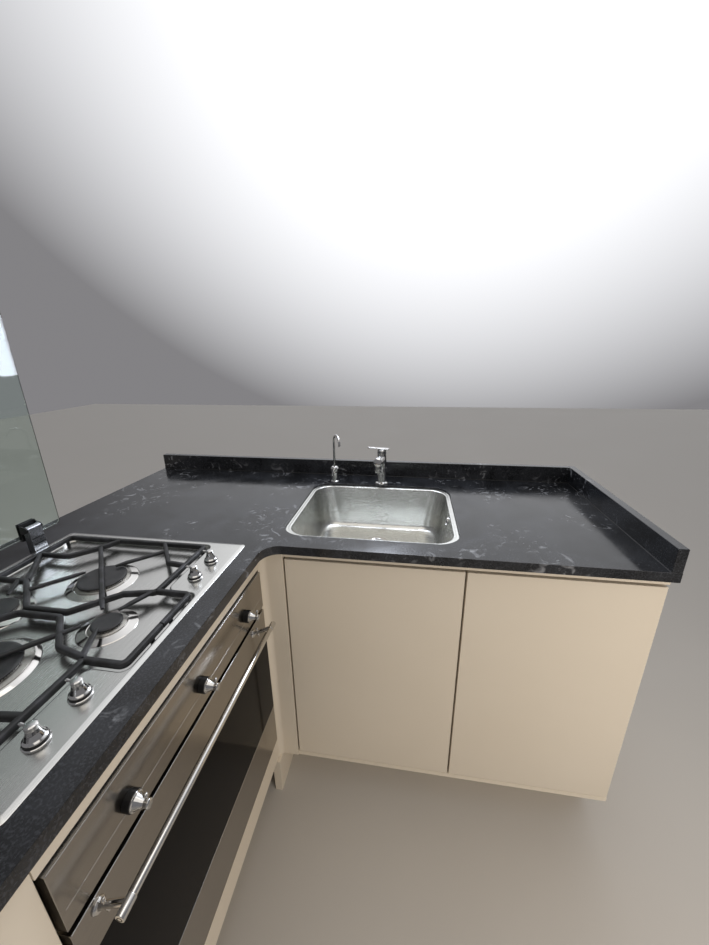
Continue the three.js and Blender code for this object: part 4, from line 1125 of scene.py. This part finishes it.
def make_pan_support(side, flip):
    def sided(path):
        return [(x, flip(y)) for x, y in path]

    sizes = {
        "Width": SUPPORT["width"] * MM, "Edge": SUPPORT["edge"] * MM, "Corner": SUPPORT["corner"] * MM,
        "Material": iron,
    }
    top, low, finger_low = SUPPORT["high"], SUPPORT["low"], SUPPORT["finger_low"]
    deep = [sided(path) for path in (SUPPORT_FRAME, *TIES.values())]
    rack = grown(
        BARS, path_mesh(deep, (top + low) / 2, True), 50, Height=(top - low) * MM, Taper_Start=0.5, Tip=1.0,
        **sizes,
    )
    meshes = [rack]
    for path in FINGERS.values():
        whole = sum(math.dist(a, b) for a, b in zip(path, path[1:]))
        way = path_mesh([with_tip(sided(path))], (top + finger_low) / 2)
        height = (top - finger_low) * MM
        thins = 1 - SUPPORT["thins_over"] / whole
        meshes.append(grown(BARS, way, 50, Height=height, Taper_Start=thins, Tip=SUPPORT["tip"], **sizes))
    foot = rounded([
        (0, HOB_FLOOR + 0.1, 0), (4, HOB_FLOOR + 0.1, 1), (4.2, HOB_FLOOR + 4, 1), (3.4, low + 2, 0),
        (0, low + 2, 0),
    ])
    feet = [turned(foot, spot(x, y, 0), segments=20) for x, y in sided(SUPPORT_FEET)]
    meshes.append(with_material(to_mesh(joined(feet)), iron))
    fixed("cast_pan_support_" + side, meshes, ["pan_support_" + side])


# Hob knobs: washer, black ring and bell, with a small lever; the black ring fills the groove between washer and
# bell and paints its shade
HOB_KNOB = {"x": -1037, "ring": 15.6, "bell": 13.6, "stem": 6.5, "tall": 29, "lever_z": 25, "lever": 18.5}


def make_hob_knob(number):
    node = f"hob_knob_{number}"
    at = Vector((spot(HOB_KNOB["x"], 0, 0).x, middle(node).y, HOB_TOP * MM))
    ring, bell, stem, tall = (HOB_KNOB[k] for k in ("ring", "bell", "stem", "tall"))
    washer = rounded([
        (0, 0, 0), (ring, 0, 0.3), (ring, 1, 0.5), (ring - 1.2, 1.8, 0.5), (bell - 1, 1.8, 0), (0, 1.8, 0),
    ])
    # The groove's dark is a black ring just wider than the bell: painted shade
    groove_shade = rounded([(0, 1.6, 0), (bell + 0.6, 1.6, 0.3), (bell + 0.6, 5.6, 0.3), (0, 5.6, 0)])
    skirt = rounded([
        (0, 5.4, 0), (bell, 5.4, 0.4), (bell + 0.2, 7.2, 0.9), (bell - 2.4, 9.4, 2), (stem + 2, 16, 9),
        (stem + 0.8, 21, 4), (stem + 1.2, tall - 2, 1), (stem - 1, tall - 0.6, 1.6), (0, tall, 0),
    ])
    reach = HOB_KNOB["lever"]
    lever = rounded([
        (0, 0, 0), (2, 0, 0), (1.7, 10, 3), (2.5, reach - 3, 2), (1.7, reach - 0.4, 1.2), (0, reach, 0),
    ])
    arm = turned(lever, at + Vector((0, 0, HOB_KNOB["lever_z"] * MM)), (-1, 0, 0), 20)
    bright = with_material(to_mesh(joined([turned(washer, at), turned(skirt, at), arm]), 45), chrome)
    fixed(f"hob_tap_{number}", [bright, turned_mesh(groove_shade, at, black_plastic_and_groove_shade)], [node])


# Oven
OVEN_EDGES = {"ledge": 0.3, "door_back": 4, "gasket": 5.4}
PANEL_LINE = {"z": 748, "height": 1.6, "proud": 0.3, "end": 6}
ARRIS = {"radius": 0.9, "in": 0.6, "end": 1.5}
OVEN_KNOB = {
    "z": 762, "collar": 14.5, "thick": 12, "stem": 6.5, "long": 34, "lever_x": 30, "lever": 17, "bulb": 3.6,
}
KNOB_RIBS = {"count": 48, "deep": 0.5, "wide": 0.8, "long": 9}
HANDLE = {
    "z": 714, "seat_z": 688, "radius": 5.4, "hub": 6.6, "hub_in": 7, "back": 0.5, "brackets": [-673, -1158],
    "pin_out": 15,
}
RACK = {"inset": 5, "edge": 2.8, "wire": 1.9, "wires": 19, "lift": 0.4}
CAVITY = {"y": -897, "z": 560, "back": -1490, "fan": 92}
# The fan cover's vents: radius of their circle, their number and their length; and their width and thickness
VENTS = [(34, 14, 14), (58, 24, 18)]
VENT_WIDE, VENT_THICK, VENT_OUT = 3.2, 0.8, 4.3


def arris_line(name, node, z, body):
    """A bright line of light along a folded edge, at a height on the front of a node."""
    low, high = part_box(node)
    x = high.x - ARRIS["in"] * MM
    ends = [Vector((x, low.y + ARRIS["end"] * MM, z)), Vector((x, high.y - ARRIS["end"] * MM, z))]
    piece(name, swept(ends, ARRIS["radius"], 4), body, chrome)


def make_oven_front():
    low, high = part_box("oven_panel")
    ledge = high.z - OVEN_EDGES["ledge"] * MM
    eased("oven_panel", steel_oven_painted_reflection, 0.9, satin, lambda c: c.z > ledge)
    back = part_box("oven_door")[0].x + OVEN_EDGES["door_back"] * MM
    eased("oven_door", steel_oven_painted_reflection, 0.9, cavity_enamel, lambda c: c.x < back)
    eased("oven_door_glass", oven_glass, 0.8)
    inset = ARRIS["in"] * MM
    arris_line("oven_panel_arris", "oven_panel", high.z - inset, "unit")
    arris_line("oven_door_arris", "oven_door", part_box("oven_door")[1].z - inset, "oven_door")
    arris_line("oven_strip_arris", "oven_door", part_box("oven_door_glass")[0].z - inset, "oven_door")
    length = (high.y - low.y) / MM - 2 * PANEL_LINE["end"]
    at = (high.x, (low.y + high.y) / 2, PANEL_LINE["z"] * MM)
    line = block((2 * PANEL_LINE["proud"], length, PANEL_LINE["height"]), at)
    piece("oven_panel_line", to_mesh(eased_work(line, 0.2)), "unit", chrome)


def make_oven_handle():
    low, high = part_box("oven_handle")
    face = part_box("oven_panel")[1].x
    bar = Vector((high.x - (HANDLE["hub"] + HANDLE["back"]) * MM, low.y, HANDLE["z"] * MM))
    length, r = (high.y - low.y) / MM, HANDLE["radius"]
    ends = rounded([(0, 0, 0), (r, 0, 1.4), (r, length / 2, 0), (r, length, 1.4), (0, length, 0)])
    works = [turned(ends, bar, (0, 1, 0), 32)]
    for bracket in HANDLE["brackets"]:
        y = spot(0, bracket, 0).y
        seat = Vector((face, y, HANDLE["seat_z"] * MM))
        rosette = rounded([(0, 0, 0), (10, 0, 0.4), (10, 1.6, 0.8), (8, 4.4, 1.4), (0, 5, 0)])
        works.append(turned(rosette, seat, (1, 0, 0), 36))
        reach = Vector((bar.x, y, bar.z)) - seat
        arm = rounded([
            (0, 4, 0), (6, 4, 0), (4.4, 12, 6), (4.8, reach.length / MM, 0), (0, reach.length / MM, 0),
        ])
        works.append(turned(arm, seat, reach.normalized(), 24))
        outer, way = (high.y, -1) if y > bar.y + length / 2 * MM else (low.y, 1)
        wide = abs(y - outer) / MM + HANDLE["hub_in"]
        hub = rounded([
            (0, 0.4, 0), (2.4, 0.4, 0.3), (2.6, 0, 0), (HANDLE["hub"], 0, 1), (HANDLE["hub"], wide, 1.6),
            (0, wide, 0),
        ])
        works.append(turned(hub, Vector((bar.x, outer, bar.z)), (0, way, 0), 32))
        pin_at = seat + reach.normalized() * HANDLE["pin_out"] * MM
        pin = rounded([
            (0, -13, 0), (1.6, -13, 1), (3, -6, 4), (2.4, 6, 3), (3, 10, 2), (1.8, 12.6, 1.4), (0, 13, 0),
        ])
        works.append(turned(pin, pin_at, (-0.15, 0, 1), 20))
    piece("oven_grab_bar", to_mesh(joined(works), 45), "oven_door", handle_chrome, ["oven_handle"])


def make_oven_knob(number):
    node = f"oven_knob_{number}"
    at = Vector((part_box("oven_panel")[1].x, middle(node).y, OVEN_KNOB["z"] * MM))
    out = (1, 0, 0)
    collar, thick, stem, long = (OVEN_KNOB[k] for k in ("collar", "thick", "stem", "long"))
    grip = rounded([(0, 0, 0), (collar, 0, 0.5), (collar, thick - 0.6, 1), (0, thick - 0.6, 0)])
    dark = turned_mesh(grip, at, black_plastic_and_groove_shade, out)
    rib = to_mesh(block((KNOB_RIBS["deep"], KNOB_RIBS["wide"], KNOB_RIBS["long"])))
    centre = at + Vector(((thick - 0.6) / 2 * MM, 0, 0))
    ribs = ring_of(rib, KNOB_RIBS["count"], collar, centre, black_plastic_and_groove_shade, out)
    bell = rounded([
        (0, thick - 0.8, 0), (collar - 0.8, thick - 0.8, 0.4), (collar - 1, thick + 0.9, 0.8),
        (11.4, thick + 1.6, 1), (stem + 2, 20, 5), (stem, 26, 3), (stem + 0.6, long - 1.6, 1.4),
        (stem - 1.6, long, 1.2), (0, long, 0),
    ])
    works = [turned(bell, at, out)]
    hub = at + Vector((OVEN_KNOB["lever_x"] * MM, 0, 0))
    tip, bulb = OVEN_KNOB["lever"], OVEN_KNOB["bulb"]
    lever = [(0, -9), (2.2, -9), (2, 4), (1.7, tip - 5.5)]
    lever += [(bulb * math.sin(a), tip - bulb * math.cos(a)) for a in (0.6, 1.0, 1.4, 1.8, 2.2, 2.7)]
    lever.append((0, tip + bulb))
    works.append(turned(lever, hub, (0, 0, 1), 20))
    bright = with_material(to_mesh(joined(works), 45), chrome)
    fixed(f"oven_tap_{number}", [dark, ribs, bright], [node])


def make_oven_inside():
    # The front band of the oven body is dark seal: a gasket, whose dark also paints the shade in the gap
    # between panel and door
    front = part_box("oven_body")[1].x - OVEN_EDGES["gasket"] * MM
    eased("oven_body", cavity_enamel, 1.5, seal_and_painted_shade, lambda c: c.x > front)
    low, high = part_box("oven_rack")
    inset = Vector((1, 1, 0)) * RACK["inset"] * MM
    z = (low.z + high.z) / 2
    a, b = low + inset, high - inset
    frame_path = [(a.x, a.y, z), (b.x, a.y, z), (b.x, b.y, z), (a.x, b.y, z), (a.x, a.y, z)]
    edge = with_material(swept(frame_path, RACK["edge"]), chrome)
    length, thick = (b.x - a.x) / MM, RACK["wire"]
    profile = rounded([(0, 0, 0), (thick, 0, 0.3), (thick, length, 0.3), (0, length, 0)])
    wire = to_mesh(turned(profile, ORIGIN, (1, 0, 0), 12))
    step = (b.y - a.y) / (RACK["wires"] + 1)
    start = (a.x, a.y + step, z + RACK["lift"] * MM)
    wires = grown(ROW, wire, 50, Count=RACK["wires"], Start=start, Step=(0, step, 0), Material=chrome)
    fixed("oven_wire_rack", [edge, wires], ["oven_rack"])

    at = spot(CAVITY["back"], CAVITY["y"], CAVITY["z"])
    r = CAVITY["fan"]
    plate = rounded([(0, 0.1, 0), (r, 0.1, 0), (r, 4, 1.5), (0, 4.4, 0)])
    meshes = [turned_mesh(plate, at, cavity_enamel, (1, 0, 0), 64)]
    centre = at + Vector((VENT_OUT * MM, 0, 0))
    for radius, count, long in VENTS:
        vent = to_mesh(block((long, VENT_WIDE, VENT_THICK)))
        meshes.append(ring_of(vent, count, radius, centre, seal_and_painted_shade, (1, 0, 0)))
    fixed("oven_fan_cover", meshes)


# Glass lid, its hinge posts and the clips that hold the pane
LID_POST = {
    "grooves": [917, 932], "groove": 2.2, "narrow": 4, "proud": 0.15, "foot": -1496, "top": -1498, "low": 900,
    "high": 957,
}


def make_lid():
    eased("glass_lid", lid_glass, 1.6, segments=3)
    for side in ("right", "left"):
        eased("lid_clip_" + side, black_plastic_and_groove_shade, 3.2, segments=4)
        node = "lid_hinge_post_" + side
        low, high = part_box(node)
        meshes = [with_material(eased_mesh(node, 1.2, 3), satin)]
        # Each groove is a dark strip just proud of the post: painted shade of the groove
        for z in LID_POST["grooves"]:
            share = (z - LID_POST["low"]) / (LID_POST["high"] - LID_POST["low"])
            x = LID_POST["foot"] + (LID_POST["top"] - LID_POST["foot"]) * share
            at = Vector((spot(x, 0, 0).x, (low.y + high.y) / 2, z * MM))
            size = (2 * LID_POST["proud"], (high.y - low.y) / MM - LID_POST["narrow"], LID_POST["groove"])
            meshes.append(with_material(to_mesh(eased_work(block(size, at), 0.12)), seal_and_painted_shade))
        fixed("lid_post_" + side, meshes, [node])


# Bottle trap below the sink, with a ribbed nut round the neck and one round the outlet
TRAP_NUT = {
    "neck": 20, "neck_down": 40, "outlet": 20, "outlet_down": 100, "outlet_back": 34, "long": 14,
    "ribs": 20, "rib": 2.4,
}


def make_trap():
    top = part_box("sink_trap")[1].z / MM
    meshes = [with_material(to_mesh(clean_copy("sink_trap"), 40), waste_plastic)]
    neck = spot(DRAIN["x"], DRAIN["y"], top - TRAP_NUT["neck_down"])
    outlet = spot(DRAIN["x"], DRAIN["y"] + TRAP_NUT["outlet_back"], top - TRAP_NUT["outlet_down"])
    long, thick, ribs = (TRAP_NUT[k] for k in ("long", "rib", "ribs"))
    for at, way, r in ((neck, (0, 0, 1), TRAP_NUT["neck"]), (outlet, (0, 1, 0), TRAP_NUT["outlet"])):
        nut = rounded([
            (0, 0, 0), (r - 1, 0, 0.4), (r, 1, 0.5), (r, long - 1, 0.5), (r - 1, long, 0.4), (0, long, 0),
        ])
        meshes.append(turned_mesh(nut, at, waste_plastic, way, 40))
        rib = to_mesh(block((thick, thick, long - 3)))
        centre = at + Vector(way) * long / 2 * MM
        meshes.append(ring_of(rib, ribs, r, centre, waste_plastic, way))
    fixed("sink_bottle_trap", meshes, ["sink_trap"])


# Floor, light and air
FLOOR_HALF = 9
LIGHTS = [
    # place and aim in metres, size, power, colour, shape and whether glossy surfaces mirror it
    {
        "name": "ceiling", "place": (0.2, -0.6, 3.0), "aim": (0, 0.1, 0.8), "size": (2.2, 2.2), "power": 15,
        "tint": "#fff8ee", "shape": "RECTANGLE", "mirrored": True,
    },
    {
        "name": "right_side", "place": (1.25, -0.95, 1.0), "aim": (0.65, 0.17, 0.5), "size": (0.7, 0.7),
        "power": 11, "tint": "#fff4e8", "shape": "RECTANGLE", "mirrored": False,
    },
    {
        "name": "round_window", "place": (0.125, 0.73, 1.49), "aim": (0.125, 0, 1.3), "size": (0.44, 0.44),
        "power": 5, "tint": "#eaf1ff", "shape": "DISK", "mirrored": True,
    },
]
# The air is dim all round and bright about one direction
SKY = {
    "bright_side": (0.07, 0.76, 0.64), "low": 0.6, "high": 1.0, "dim": "#6e6d6f", "bright": "#fbfcff",
    "strength": 1.45,
}


def make_stage():
    floor = bmesh.new()
    bmesh.ops.create_grid(floor, x_segments=1, y_segments=1, size=FLOOR_HALF)
    mesh = bpy.data.meshes.new("floor")
    floor.to_mesh(mesh)
    floor.free()
    mesh.materials.append(floor_screed)
    ground = bpy.data.objects.new("floor", mesh)
    bpy.context.scene.collection.objects.link(ground)
    for entry in LIGHTS:
        data = bpy.data.lights.new(entry["name"], "AREA")
        data.shape = entry["shape"]
        data.size, data.size_y = entry["size"]
        data.energy = entry["power"]
        data.color = srgb(entry["tint"])[:3]
        lamp = bpy.data.objects.new(entry["name"], data)
        lamp.location = entry["place"]
        aim = Vector(entry["aim"]) - Vector(entry["place"])
        lamp.rotation_euler = aim.to_track_quat("-Z", "Y").to_euler()
        lamp.visible_camera = False
        lamp.visible_glossy = entry["mirrored"]
        bpy.context.scene.collection.objects.link(lamp)
    world = bpy.data.worlds.new("soft_air")
    world.use_nodes = True
    tree = world.node_tree
    tree.nodes.clear()
    way = add(tree, "ShaderNodeTexCoord").outputs["Generated"]
    lit = add(tree, "ShaderNodeVectorMath", {0: way, 1: SKY["bright_side"]}, operation="DOT_PRODUCT")
    links = {"Value": lit.outputs["Value"], 1: SKY["low"], 2: SKY["high"], 3: 0, 4: 1}
    share = add(tree, "ShaderNodeMapRange", links).outputs[0]
    links = {0: share, 6: srgb(SKY["dim"]), 7: srgb(SKY["bright"])}
    tone = add(tree, "ShaderNodeMix", links, data_type="RGBA").outputs[2]
    backdrop = add(tree, "ShaderNodeBackground", {"Color": tone, "Strength": SKY["strength"]})
    add(tree, "ShaderNodeOutputWorld", {"Surface": backdrop.outputs[0]})
    bpy.context.scene.world = world
    bpy.context.scene.view_settings.view_transform = "Standard"


make_camera()
make_stone()
make_bead()
make_boards()
make_cupboard_fittings()
make_bowl()
make_sink_fittings()
make_mixer()
make_filter_tap()
make_hob_tray()
for burner in BURNERS:
    make_burner(**burner)
make_pan_support("right", lambda y: y)
make_pan_support("left", lambda y: 2 * SUPPORT["mid_y"] - y)
for number in (1, 2, 3, 4):
    make_hob_knob(number)
make_oven_front()
make_oven_handle()
for number in (1, 2, 3):
    make_oven_knob(number)
make_oven_inside()
make_lid()
make_trap()
make_stage()
